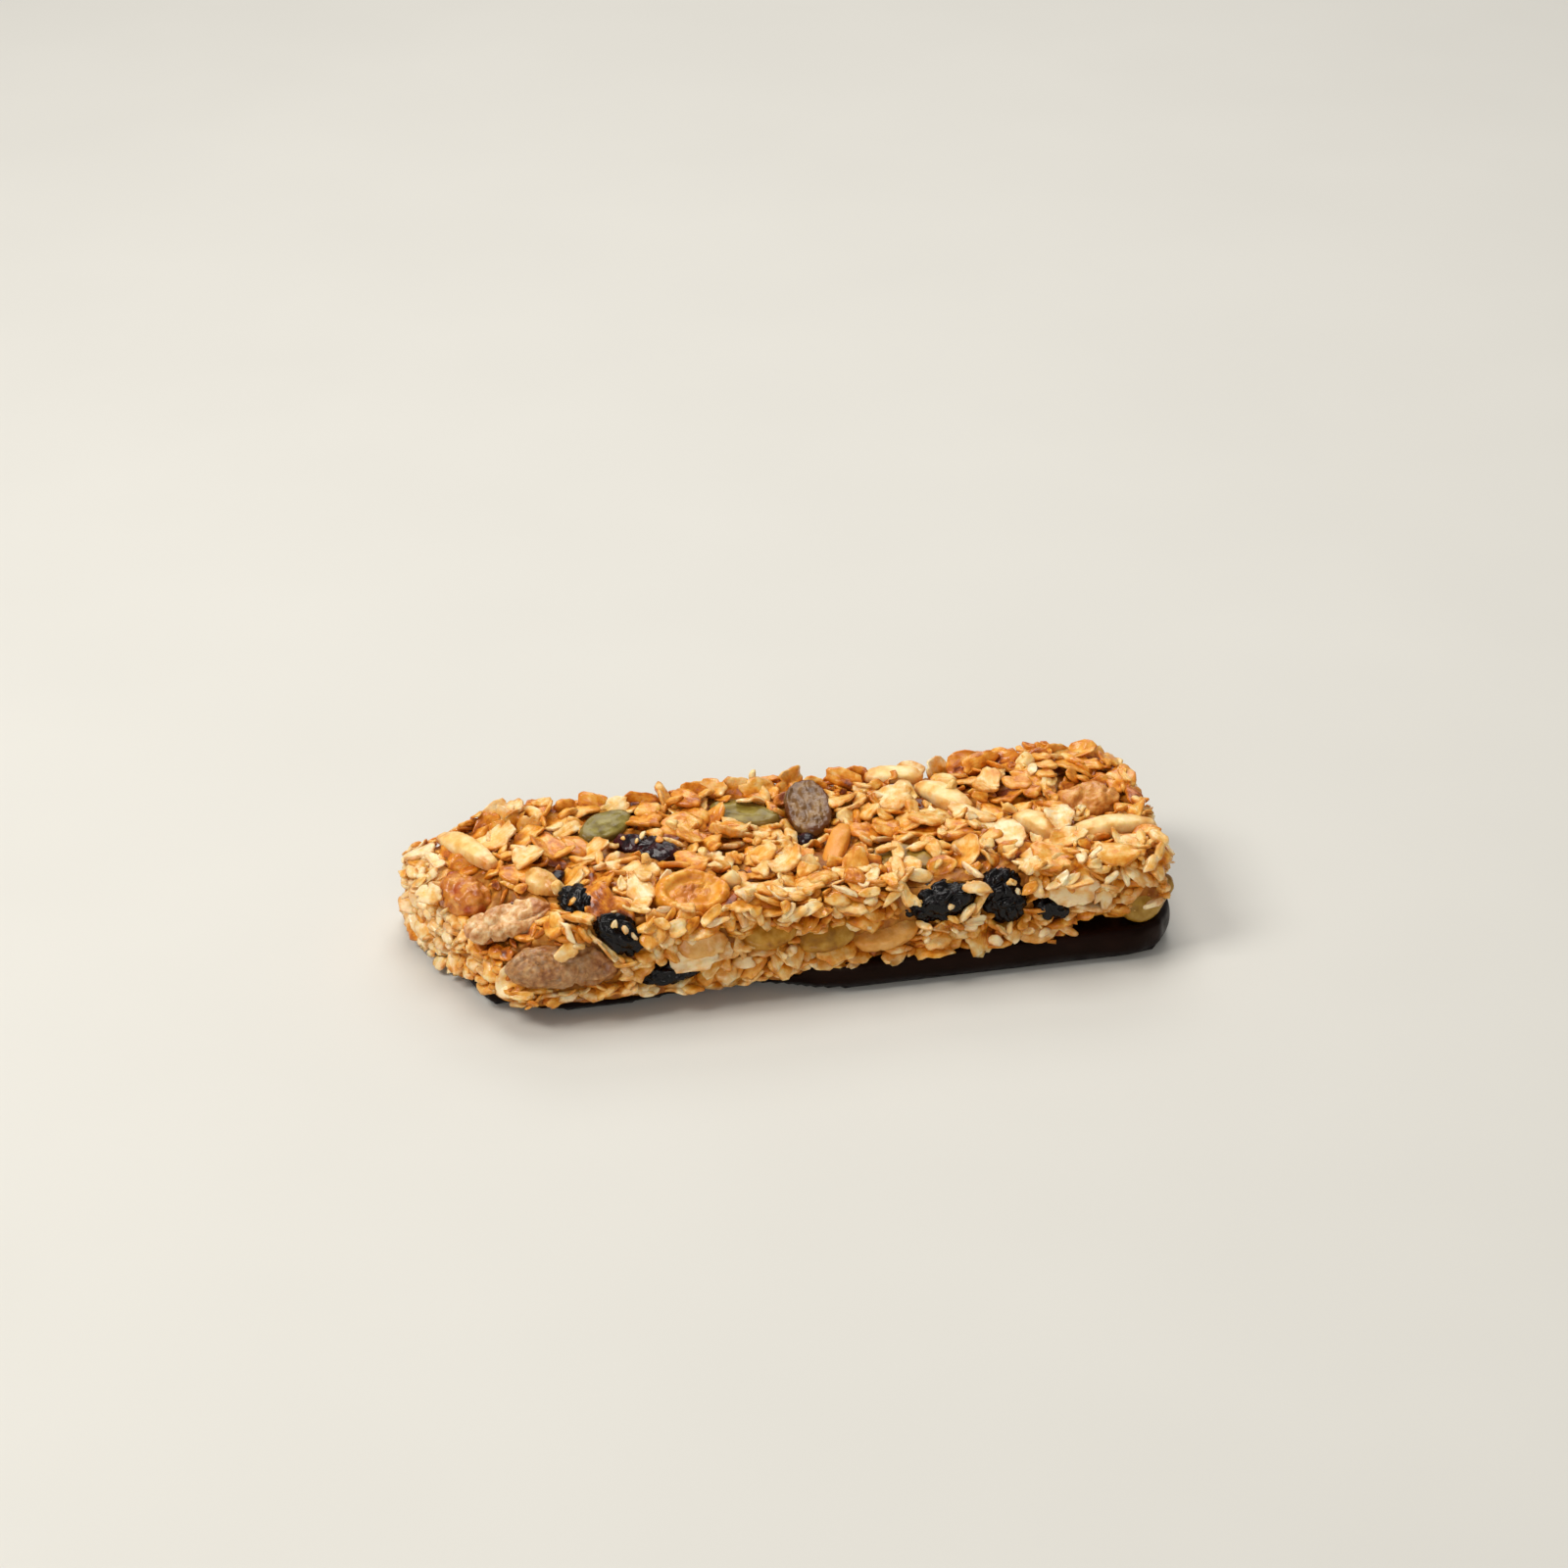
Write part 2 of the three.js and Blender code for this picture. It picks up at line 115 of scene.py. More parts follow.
class Look:
    """A node material, with short calls for the nodes that the looks below share."""

    def __init__(self, name, specular=0.5, coat=(), **constants):
        """`coat` is the weight and the roughness of the gloss on top."""
        constants.update(zip(("Coat_Weight", "Coat_Roughness"), coat), Specular_IOR_Level=specular)
        self.material = bpy.data.materials.new(name)
        self.material.use_nodes = True
        self.tree = self.material.node_tree
        self.shader = self.tree.nodes["Principled BSDF"]
        self.places = self.tree.nodes.new("ShaderNodeTexCoord").outputs["Object"]
        for socket, value in constants.items():
            self.shader.inputs[socket.replace("_", " ")].default_value = value

    def node(self, kind, **inputs):
        made = self.tree.nodes.new("ShaderNode" + kind)
        for socket, value in inputs.items():
            self.feed(made.inputs[socket], value)
        return made

    def feed(self, socket, value):
        if isinstance(value, bpy.types.NodeSocket):
            self.tree.links.new(value, socket)
        else:
            socket.default_value = value

    def set(self, socket, value):
        self.feed(self.shader.inputs[socket], value)

    def noise(self, size, detail=3):
        """Soft noise with features about `size` millimetres across."""
        made = self.node("TexNoise", Scale=1 / (size * MM), Detail=detail, Vector=self.places)
        return made.outputs["Fac"]

    def fibres(self, size):
        """Noise over the place on its flake that each point carries as `grain`."""
        grain = self.carried("grain").outputs["Vector"]
        return self.node("TexNoise", Scale=1 / size, Detail=3.0, Vector=grain).outputs["Fac"]

    def lumps(self, size):
        return self.node("TexVoronoi", Scale=1 / (size * MM), Vector=self.places).outputs["Distance"]

    def carried(self, name):
        """The node for a number or place that each of the mesh's points carries under this name."""
        made = self.tree.nodes.new("ShaderNodeAttribute")
        made.attribute_name = name
        return made

    def ramp(self, value, *stops):
        """Colours along a value: each stop is (place, six-digit code)."""
        made = self.node("ValToRGB", Fac=value)
        steps = made.color_ramp.elements
        while len(steps) < len(stops):
            steps.new(0.5)
        for step, (place, code) in zip(steps, stops):
            step.position, step.color = place, srgb(code)
        return made.outputs["Color"]

    def mottled(self, size, detail, *stops):
        """A ramp's colours in soft patches about `size` millimetres across."""
        return self.ramp(self.noise(size, detail), *stops)

    def remap(self, value, low, high, to_low=0.0, to_high=1.0):
        made = self.node("MapRange", Value=value)
        for socket, number in zip(("From Min", "From Max", "To Min", "To Max"), (low, high, to_low, to_high)):
            made.inputs[socket].default_value = number
        return made.outputs["Result"]

    def math(self, operation, a, b):
        made = self.tree.nodes.new("ShaderNodeMath")
        made.operation = operation
        self.feed(made.inputs[0], a)
        self.feed(made.inputs[1], b)
        return made.outputs["Value"]

    def mix(self, share, a, b):
        """From a to b by a share, which may be the name of a number that the mesh's points carry."""
        made = self.tree.nodes.new("ShaderNodeMix")
        made.data_type = "RGBA"
        factor, first, second = made.inputs[0], made.inputs[6], made.inputs[7]
        self.feed(factor, self.carried(share).outputs["Fac"] if isinstance(share, str) else share)
        self.feed(first, srgb(a) if isinstance(a, str) else a)
        self.feed(second, srgb(b) if isinstance(b, str) else b)
        return made.outputs[2]

    def bump(self, height, distance, under=None):
        """Relief of up to `distance` millimetres, over another bump if one is given."""
        made = self.node("Bump", Height=height, Distance=distance * MM, Strength=1.0)
        if under is not None:
            self.feed(made.inputs["Normal"], under)
        return made.outputs["Normal"]

    def relief(self, *layers):
        """Noise bumps, the finest first: each layer is (size, detail, distance)."""
        under = None
        for size, detail, distance in layers:
            under = self.bump(self.noise(size, detail), distance, under)
        self.set("Normal", under)

    def roughen(self, size, low, high, detail=3):
        """Roughness from low to high in patches about `size` millimetres across."""
        self.set("Roughness", self.remap(self.noise(size, detail), *MID_NOISE, low, high))

    def soften(self, share, reach, depth):
        """Lets light in under the surface, as far as `depth` millimetres, with a reach for each colour."""
        self.set("Subsurface Weight", share)
        self.set("Subsurface Radius", reach)
        self.set("Subsurface Scale", depth * MM)


MID_NOISE = (0.35, 0.65)  # where most of the noise's values lie


def oat_look():
    """Toasted rolled oats under a thin syrup. `tone` runs from pale to well toasted, and also carries painted
    shade deep in the pile and painted light at the bar's left end and front. `rim` is 1 at an edge, and
    `grain` is a place on the flake, drawn out along it."""
    look = Look("oats", 0.2, (0.55, 0.1), Coat_IOR=1.42)
    look.soften(0.3, (1.0, 0.6, 0.2), 0.9)
    patches = look.noise(1.9)
    fibres = look.fibres(0.32)
    ribs = look.fibres(0.9)
    tone = look.math("ADD", look.carried("tone").outputs["Fac"], look.remap(patches, 0.3, 0.7, -0.25, 0.25))
    tone = look.math("ADD", tone, look.remap(fibres, *MID_NOISE, -0.05, 0.05))
    pale = (0.0, "fbe2b2"), (0.2, "f7cf88"), (0.42, "f0b04c")
    toasted = (0.62, "e08d1e"), (0.82, "b8600e"), (1.0, "702c05")
    colour = look.ramp(tone, *pale, *toasted)
    browned = look.remap(patches, 0.36, 0.62, 0.05, 0.75)
    browned = look.math("MULTIPLY", look.carried("rim").outputs["Fac"], browned)
    look.set("Base Color", look.mix(browned, colour, "c8741a"))
    look.roughen(1.2, 0.26, 0.6)
    relief = look.bump(fibres, 0.03)
    relief = look.bump(ribs, 0.08, relief)
    relief = look.bump(look.noise(0.45), 0.06, relief)
    look.set("Normal", look.bump(look.noise(1.3), 0.22, relief))
    return look.material


def core_look():
    """The syrup-bound mass that shows between the flakes."""
    look = Look("core", 0.2, (0.2, 0.3))
    lumps = look.lumps(2.1)
    colour = look.mottled(1.6, 4, (0.3, "a85e12"), (0.5, "cc8426"), (0.7, "e4aa4e"))
    # Painted shade: the core is darker where the lumps sink, in the hollows between them.
    look.set("Base Color", look.mix(look.remap(lumps, 0.0, 0.6, 0, 0.55), colour, "7c3c0a"))
    look.roughen(0.8, 0.4, 0.7)
    look.set("Normal", look.bump(lumps, -0.8))
    return look.material


def chocolate_look():
    look = Look("chocolate", 0.2, IOR=1.45, Specular_Tint=(0.75, 0.5, 0.38, 1.0))
    look.set("Base Color", look.mottled(5.0, 3, (0.3, "090201"), (0.55, "110504"), (0.8, "1a0a07")))
    look.roughen(2.4, 0.3, 0.5, detail=4)
    look.relief((0.5, 3, 0.02), (3.0, 2, 0.14))
    return look.material


def raisin_look():
    look = Look("raisin", 0.12, (0.3, 0.06))
    look.set("Base Color", look.mottled(1.0, 3, (0.3, "020102"), (0.55, "070405"), (0.75, "1a0b10")))
    look.roughen(0.5, 0.2, 0.4)
    look.relief((0.3, 3, 0.05), (0.7, 2, 0.22))
    return look.material


def cranberry_look():
    look = Look("cranberry", 0.15, (0.3, 0.07))
    look.soften(0.1, (1.0, 0.12, 0.1), 0.8)
    colour = look.mottled(1.8, 3, (0.3, "0a0206"), (0.5, "1e040a"), (0.72, "3e0a10"))
    look.set("Base Color", look.mix("rim", colour, "4e0c12"))
    look.roughen(0.6, 0.22, 0.4)
    look.relief((1.0, 2, 0.14))
    return look.material


def green_seed_look():
    look = Look("green_seed", 0.15, (0.3, 0.12))
    look.soften(0.15, (0.8, 0.9, 0.3), 0.6)
    colour = look.mottled(1.6, 2, (0.28, "5f5620"), (0.5, "7f7632"), (0.75, "a09650"))
    colour = look.mix("rim", colour, "6d5a24")
    gold = look.mottled(2.0, 3, (0.3, "965606"), (0.5, "bc7e1c"), (0.75, "d8a64a"))
    look.set("Base Color", look.mix("syrup", colour, gold))
    look.roughen(0.8, 0.34, 0.5)
    look.relief((0.9, 2, 0.08))
    return look.material


def roasted_seed_look():
    look = Look("roasted_seed", 0.2, (0.5, 0.12))
    colour = look.mottled(1.8, 4, (0.3, "5e3c1a"), (0.5, "7e5a30"), (0.7, "a07c4c"))
    look.set("Base Color", look.mix("rim", colour, "5c2c08"))
    look.roughen(0.8, 0.28, 0.48)
    look.relief((0.8, 3, 0.2))
    return look.material


def walnut_look():
    look = Look("walnut", 0.3, (0.4, 0.18))
    look.soften(0.25, (1.0, 0.55, 0.25), 0.9)
    flesh = look.mottled(1.1, 4, (0.3, "bd7a3a"), (0.5, "e2b278"), (0.7, "f6dcb0"))
    skin = look.mottled(0.9, 4, (0.35, "98460f"), (0.65, "c6752c"))
    grainy = look.mottled(0.9, 5, (0.3, "683a14"), (0.5, "965e2c"), (0.7, "c09058"))
    look.set("Base Color", look.mix("syrup", look.mix("rim", flesh, skin), grainy))
    look.roughen(0.9, 0.35, 0.6)
    look.relief((0.5, 4, 0.14), (1.1, 3, 0.22))
    return look.material


def caramel_nut_look():
    look = Look("caramel_nut", 0.3, (0.45, 0.15))
    look.soften(0.25, (1.0, 0.5, 0.15), 0.9)
    colour = look.mottled(2.0, 5, (0.3, "a4500a"), (0.45, "c47018"), (0.6, "da9038"), (0.78, "edb668"))
    golden = look.mottled(1.2, 4, (0.3, "b8691a"), (0.5, "d88f3a"), (0.7, "eeb968"))
    look.set("Base Color", look.mix("syrup", look.mix("rim", colour, "a8440a"), golden))
    look.roughen(0.9, 0.35, 0.6)
    look.relief((0.8, 4, 0.25))
    return look.material


def almond_look(name="almond"):
    look = Look(name, 0.35, (0.3, 0.2))
    look.soften(0.3, (1.0, 0.65, 0.3), 1.0)
    colour = look.mottled(2.2, 3, (0.3, "e6ac50"), (0.5, "f6cf84"), (0.7, "fce4ae"))
    toast = look.math("MULTIPLY", look.carried("rim").outputs["Fac"], look.remap(look.noise(1.8), 0.35, 0.6))
    look.set("Base Color", look.mix("syrup", look.mix(toast, colour, "d9892c"), "e6921a"))
    look.roughen(0.9, 0.36, 0.55)
    look.relief((0.8, 3, 0.12))
    return look.material


def peanut_look():
    look = Look("peanut", 0.3, (0.4, 0.16))
    look.soften(0.3, (1.0, 0.6, 0.25), 0.9)
    colour = look.mottled(2.0, 4, (0.3, "cf8c34"), (0.5, "e8b666"), (0.7, "f4d496"))
    look.set("Base Color", look.mix("syrup", look.mix("rim", colour, "c98534"), "d8902e"))
    look.roughen(0.9, 0.34, 0.55)
    look.relief((0.8, 4, 0.15))
    return look.material


def chip_look():
    look = Look("fruit_chip", 0.3, (0.45, 0.14))
    look.soften(0.3, (1.0, 0.5, 0.12), 1.1)
    colour = look.mottled(1.8, 4, (0.3, "d07c14"), (0.5, "e6982a"), (0.7, "f4b84e"))
    look.set("Base Color", look.mix("rim", colour, "c87830"))
    look.roughen(0.9, 0.3, 0.5)
    look.relief((0.8, 3, 0.15))
    return look.material


def floor_look():
    look = Look("floor", Roughness=0.85)
    look.set("Base Color", look.mix(look.remap(look.noise(60, 2), 0.3, 0.7), "d6d4cd", "d8d6cf"))
    return look.material


# ---- Number fields ----
def lattice_value(cell, seed):
    """A repeatable number from 0 to 1 for each whole-number cell."""
    h = cell[:, 0] * 374761393 + cell[:, 1] * 668265263 + cell[:, 2] * 2147483647 + seed * 974634777
    h = (h ^ (h >> 13)) * 1274126177 & 0x7FFFFFFF
    return ((h ^ (h >> 16)) & 0xFFFFFF) / 0x1000000


def noise(points, size, seed=0):
    """Smooth noise from -1 to 1 at each point, with features about `size` across."""
    q = points / size
    cell = np.floor(q).astype(np.int64)
    f = q - cell
    s = f * f * (3 - 2 * f)
    total = np.zeros(len(q))
    for corner in product((0, 1), repeat=3):
        weight = np.prod(np.where(corner, s, 1 - s), axis=1)
        total += weight * lattice_value(cell + corner, seed)
    return 2 * total - 1


def layered_noise(points, size, seed=0, layers=3):
    return sum(noise(points, size / 2**k, seed + k) / 2**k for k in range(layers))


# ---- Meshes as arrays of points and triangles ----
def arrays_of(thing):
    """A mesh object's points, in millimetres, and its triangles."""
    mesh = thing.data
    mesh.calc_loop_triangles()
    points = np.empty(len(mesh.vertices) * 3)
    mesh.vertices.foreach_get("co", points)
    triangles = np.empty(len(mesh.loop_triangles) * 3, np.int32)
    mesh.loop_triangles.foreach_get("vertices", triangles)
    return points.reshape(-1, 3) / MM, triangles.reshape(-1, 3)


def tree_of(points, triangles):
    return BVHTree.FromPolygons(points.tolist(), triangles.tolist(), all_triangles=True)


def make_piece(name, points, triangles, material, stands_for=(), values=None, corners=None):
    """A mesh object from points in millimetres. `values` holds a number for each point under each name, and
    `corners` a place on the baking map for each triangle's corner."""
    mesh = bpy.data.meshes.new(name)
    mesh.vertices.add(len(points))
    mesh.vertices.foreach_set("co", (np.asarray(points) * MM).astype(np.float32).ravel())
    mesh.loops.add(3 * len(triangles))
    mesh.loops.foreach_set("vertex_index", np.asarray(triangles, np.int32).ravel())
    mesh.polygons.add(len(triangles))
    mesh.polygons.foreach_set("loop_start", np.arange(0, 3 * len(triangles), 3, dtype=np.int32))
    mesh.update(calc_edges=True)
    mesh.shade_smooth()
    for key, numbers in (values or {}).items():
        numbers = np.asarray(numbers, np.float32)
        kind, field = ("FLOAT", "value") if numbers.ndim == 1 else ("FLOAT_VECTOR", "vector")
        mesh.attributes.new(key, kind, "POINT").data.foreach_set(field, numbers.ravel())
    if corners is not None:
        layer = mesh.uv_layers.new(name="OFBake")
        layer.data.foreach_set("uv", np.asarray(corners, np.float32).ravel())
    mesh.materials.append(material)
    piece = bpy.data.objects.new(name, mesh)
    bpy.context.scene.collection.objects.link(piece)
    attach(piece, "root")
    if stands_for:
        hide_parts(*stands_for)
    return piece


# ---- One side of the bar as a height map ----
def sliding(grid, radius, pick):
    """What `pick` makes of the values in the square window round each cell."""
    for axis in (0, 1):
        pad = [(0, 0), (0, 0)]
        pad[axis] = (radius, radius)
        wide = np.pad(grid, pad, mode="edge")
        count = grid.shape[axis]
        views = [wide.take(range(k, k + count), axis=axis) for k in range(2 * radius + 1)]
        grid = pick(views)
    return grid


def highest(views):
    return np.max(views, axis=0)


def closed(grid, radius):
    """The map with its narrow hollows filled."""
    return sliding(sliding(grid, radius, highest), radius, lambda views: np.min(views, axis=0))


def blurred(grid, radius):
    return sliding(grid, radius, lambda views: np.mean(views, axis=0))


EMPTY = -1e3  # a map's value where its rays meet nothing
HOLLOW_CELLS = 10  # half the width of the widest hollow for a fruit or nut


class Side:
    """The bar seen from one side: u and v run across the view, and w is the height towards the viewer."""

    def __init__(self, u_axis, v_axis, w_axis, u_span, v_span):
        self.axes = np.array([u_axis, v_axis, w_axis], float)
        self.us = np.arange(u_span[0], u_span[1], CELL)
        self.vs = np.arange(v_span[0], v_span[1], CELL)
        self.shape = (len(self.us), len(self.vs))
        self.failures = np.zeros(self.shape)
        self.lows, self.highs, self.shy = [], [], []

    def to_bar(self, local):
        return local @ self.axes

    def from_bar(self, points):
        return points @ self.axes.T

    def cast(self, tree, inward=True, spans=None):
        """The map of w where rays from outside, or from inside out, first meet the tree."""
        sign = 1.0 if inward else -1.0
        found = np.full(self.shape, EMPTY * sign)
        direction = Vector(-sign * self.axes[2])
        (i0, i1), (j0, j1) = spans or ((0, self.shape[0]), (0, self.shape[1]))
        for i in range(i0, i1):
            for j in range(j0, j1):
                start = Vector(self.to_bar(np.array((self.us[i], self.vs[j], sign * REACH))))
                distance = tree.ray_cast(start, direction)[3]
                if distance is not None:
                    found[i, j] = sign * (REACH - distance)
        return found

    def span_of(self, points):
        local = self.from_bar(points)
        spans = []
        for k, steps in enumerate((self.us, self.vs)):
            first = int((local[:, k].min() - steps[0]) / CELL) - 1
            last = int((local[:, k].max() - steps[0]) / CELL) + 2
            spans.append((max(first, 0), min(last, len(steps))))
        return spans

    def set_target(self, slab_tree):
        """The slab's own outline from this side, with the hollows for the fruit and nuts closed over."""
        filled = closed(self.cast(slab_tree), HOLLOW_CELLS)
        self.inside = filled > EMPTY / 2
        while (filled < EMPTY / 2).any():
            grown = sliding(filled, 1, highest)
            filled = np.where(filled < EMPTY / 2, grown, filled)
        self.target = blurred(filled, 2)

    def add_obstacle(self, points, tree, shy):
        """Keeps flakes out of a fruit or nut: between `low` and `high` this side's cells are taken. Nothing
        is laid over one that is shy."""
        spans = self.span_of(points)
        if spans[0][0] >= spans[0][1] or spans[1][0] >= spans[1][1]:
            return
        high = self.cast(tree, True, spans)
        low = self.cast(tree, False, spans)
        met = high > EMPTY / 2
        for k in range(len(self.lows)):
            if not ((self.highs[k] > EMPTY / 2) & met).any():
                self.highs[k] = np.maximum(self.highs[k], high)
                self.lows[k] = np.minimum(self.lows[k], low)
                self.shy[k] = self.shy[k] | (met & shy)
                return
        self.highs.append(high)
        self.lows.append(low)
        self.shy.append(met & shy)

    def sample(self, grid, points):
        """The map's value at points of the bar, off the map's edge as at its edge."""
        local = self.from_bar(points)
        i = np.clip((local[:, 0] - self.us[0]) / CELL, 0, self.shape[0] - 1.001)
        j = np.clip((local[:, 1] - self.vs[0]) / CELL, 0, self.shape[1] - 1.001)
        i0, j0 = i.astype(int), j.astype(int)
        fi, fj = i - i0, j - j0
        near = grid[i0, j0] * (1 - fj) + grid[i0, j0 + 1] * fj
        far = grid[i0 + 1, j0] * (1 - fj) + grid[i0 + 1, j0 + 1] * fj
        return near * (1 - fi) + far * fi


# ---- Laying flakes on a side ----
# Each kind gives half-length, width over length, thickness, extra lean and the steepest slope.
KINDS = {
    "whole": dict(half=(3.0, 4.4), narrow=(0.6, 0.82), thick=(0.75, 1.1), lean=0.24, steep=0.9),
    "broken": dict(half=(2.1, 3.3), narrow=(0.52, 0.85), thick=(0.75, 1.2), lean=0.34, steep=1.1),
    "shard": dict(half=(1.9, 3.3), narrow=(0.34, 0.56), thick=(0.6, 0.95), lean=0.42, steep=1.2),
    "bit": dict(half=(1.3, 2.1), narrow=(0.5, 0.88), thick=(0.55, 0.95), lean=0.45, steep=1.3),
}
CLEAR_OF_TOP = 3.0  # a fruit or nut that comes this near to a side's surface stays uncovered
ON_SIDE = 0.6  # the least share of a flake that lies on its side of the bar
SUNK = 0.25  # how deep a flake is pressed into what it rests on
BITE = 0.15  # how deep the next flake may sink into this one
RUN_IN = 0.07  # the largest share of a flake that may run into a fruit or nut
EIGHTHS = TAU * np.arange(8) / 8
DISC = np.stack([0.93 * np.cos(EIGHTHS), 0.93 * np.sin(EIGHTHS), 0 * EIGHTHS], 1)
FAN = np.array([(0, k, k + 1) for k in range(1, 7)])


def draw_size(rng, kind):
    facts = KINDS[kind]
    half = rng.uniform(*facts["half"])
    return half, half * rng.uniform(*facts["narrow"]), rng.uniform(*facts["thick"])


def resting_plane(across, along, ground):
    """A plane laid on the higher points of the ground: its level and its two slopes."""
    grid = np.stack([np.ones_like(across), across, along], 1)
    chosen = np.ones(len(ground), bool)
    for _ in range(2):
        a = grid[chosen]
        plane = np.linalg.lstsq(a, ground[chosen], rcond=None)[0]
        above = ground - grid @ plane > -0.1
        if above.sum() < 6:
            break
        chosen = above
    return plane


def place_flake(side, kind, centre, slopes, turn, size):
    """A flake's place in the bar: its centre and the directions of its length, width and thickness."""
    length_way = np.array((math.cos(turn), math.sin(turn), 0.0))
    width_way = np.array((-math.sin(turn), math.cos(turn), 0.0))
    out = np.array((0.0, 0.0, 1.0)) - slopes[0] * length_way - slopes[1] * width_way
    out /= np.linalg.norm(out)
    length_way = length_way + slopes[0] * np.array((0, 0, 1.0))
    length_way /= np.linalg.norm(length_way)
    ways = np.stack([length_way, np.cross(out, length_way), out])
    return dict(kind=kind, centre=side.to_bar(np.array(centre)), ways=side.to_bar(ways), size=size, seen=0)


def proxy_of(flake):
    """A flat outline of a flake, for rays to meet."""
    half, width, _ = flake["size"]
    return flake["centre"] + (DISC * (half, width, 1)) @ flake["ways"]


def within_bar(flake, slack, over, into_chocolate):
    """Whether a flake's outline stays inside the bar's sides, under its top and over the chocolate."""
    outline = proxy_of(flake)
    if (outline[:, 2] > np.minimum(top_side.sample(top_side.target, outline) + over, HIGHEST)).any():
        return False
    if (outline[:, 2] < top_side.sample(chocolate_top, outline) - into_chocolate).any():
        return False
    for wall in walls:
        if (wall.from_bar(outline)[:, 2] > wall.sample(wall.target, outline) + slack).any():
            return False
    return True


def overshoot(flake, slack):
    """The way to move a flake, in x and y, so that it no longer sticks out of the bar's sides."""
    outline = proxy_of(flake)
    move = np.zeros(3)
    for wall in walls:
        over = (wall.from_bar(outline)[:, 2] - wall.sample(wall.target, outline)).max() - slack
        if over > 0:
            move -= over * wall.axes[2]
    return move


def rest(side, kind, i, j, size, turn, tilt, over, press, hide):
    """One flake resting on the side's ground round cell (i, j), with its footprint and the new ground.
    `over` is how far it may rise past the side's target, `press` the share of the ground under it that it
    clears, and `hide` the share of it that may lie over something shy. None where it doesn't fit."""
    facts = KINDS[kind]
    half, width, thick = size
    reach = int(half / CELL) + 1
    rows = slice(max(i - reach, 0), min(i + reach + 1, side.shape[0]))
    columns = slice(max(j - reach, 0), min(j + reach + 1, side.shape[1]))
    du, dv = np.meshgrid(side.us[rows] - side.us[i], side.vs[columns] - side.vs[j], indexing="ij")
    across = du * math.cos(turn) + dv * math.sin(turn)
    along = -du * math.sin(turn) + dv * math.cos(turn)
    under = (across / half) ** 2 + (along / width) ** 2 < 1
    if (side.inside[rows, columns] & under).sum() < ON_SIDE * under.sum():
        return None
    ground = side.height[rows, columns]
    target = side.target[rows, columns]
    plane = resting_plane(across[under], along[under], ground[under])
    plane[1:] += tilt
    steepness = math.hypot(plane[1], plane[2])
    if steepness > facts["steep"]:
        plane[1:] *= facts["steep"] / steepness
    bottom = plane[1] * across + plane[2] * along
    rise = np.quantile((ground - bottom)[under], press) - SUNK
    bottom = bottom + rise
    top = bottom + thick * math.sqrt(1 + plane[1] ** 2 + plane[2] ** 2)
    if (top - target)[under].max() > over:
        return None
    settled = np.where(under, np.maximum(ground, top - BITE), ground)
    for low, high, shy in zip(side.lows, side.highs, side.shy):
        low, high, shy = low[rows, columns], high[rows, columns], shy[rows, columns]
        taken = under & (bottom < high - 0.3) & (top > low + 0.4)
        if taken.sum() > RUN_IN * under.sum():
            return None
        hidden = under & shy & (high > target - CLEAR_OF_TOP) & (top > high - 0.3)
        if hidden.sum() > hide * under.sum():
            return None
        settled = np.where((settled > low - 0.7) & (settled < high), high, settled)
    centre = (side.us[i], side.vs[j], rise + thick / 2)
    return place_flake(side, kind, centre, plane[1:], turn, size), (rows, columns), settled


LEVEL_TURN = 0.5  # the most that a flake on a wall is turned from the level
SLACK = (0.4, 0.35)  # how far flakes stick out of the bar's sides: the mean and the spread


def lay(side, rng, kind, i, j, lean=1.0, over=0.6, press=0.88, hide=0.1):
    """Tries to lay one flake round cell (i, j), moved in where it would stick out of the bar."""
    on_top = side is top_side
    size = draw_size(rng, kind)
    turn = rng.uniform(0, TAU)
    if not on_top:
        turn = LEVEL_TURN * math.sin(turn)
    tilt = rng.normal(0, KINDS[kind]["lean"] * lean, 2)
    slack = rng.normal(*SLACK)
    for _ in range(3):
        made = rest(side, kind, i, j, size, turn, tilt, over, press, hide)
        if not made:
            return None
        flake, place, settled = made
        move = overshoot(flake, slack) if on_top else np.zeros(3)
        if np.abs(move).max() < CELL:
            break
        i = int(np.clip(i + round(move[0] / CELL), 0, side.shape[0] - 1))
        j = int(np.clip(j + round(move[1] / CELL), 0, side.shape[1] - 1))
    rise, into_chocolate = (over + 0.3, 1.3) if on_top else (0.1, 0.2)
    if not within_bar(flake, slack + CELL, rise, into_chocolate):
        return None
    side.height[place] = settled
    return flake


PER_ROUND = 60  # cells tried in a round


def lowest_cells(side, rng, spare):
    """A round's cells, each the lowest of a few random ones that lie under the target by more than `spare`.
    Cells where nothing fitted come up less often."""
    i, j = np.nonzero(side.inside & (side.target - side.height > spare))
    if len(i) == 0:
        return []
    picked = rng.integers(len(i), size=(PER_ROUND, 5))
    depth = ((side.target - side.height) * 0.75**side.failures)[i[picked], j[picked]]
    best = picked[np.arange(PER_ROUND), depth.argmax(1)]
    return list(zip(i[best], j[best]))


PATIENCE = 5  # rounds with next to nothing laid before a side counts as full


def in_rounds(side, rng, rounds, spare, attempt, patience=None):
    """Tries `attempt` at the side's lowest cells, round after round, and gives the flakes that it makes."""
    flakes, poor = [], 0
    for _ in range(rounds):
        laid = len(flakes)
        for i, j in lowest_cells(side, rng, spare):
            flake = attempt(i, j)
            if flake:
                flakes.append(flake)
            else:
                side.failures[max(i - 1, 0) : i + 2, max(j - 1, 0) : j + 2] += 1
        poor = poor + 1 if len(flakes) < laid + 2 else 0
        if poor == patience:
            break
    return flakes


NEXT_DOWN = dict(whole="broken", broken="shard", shard="bit", bit="bit")


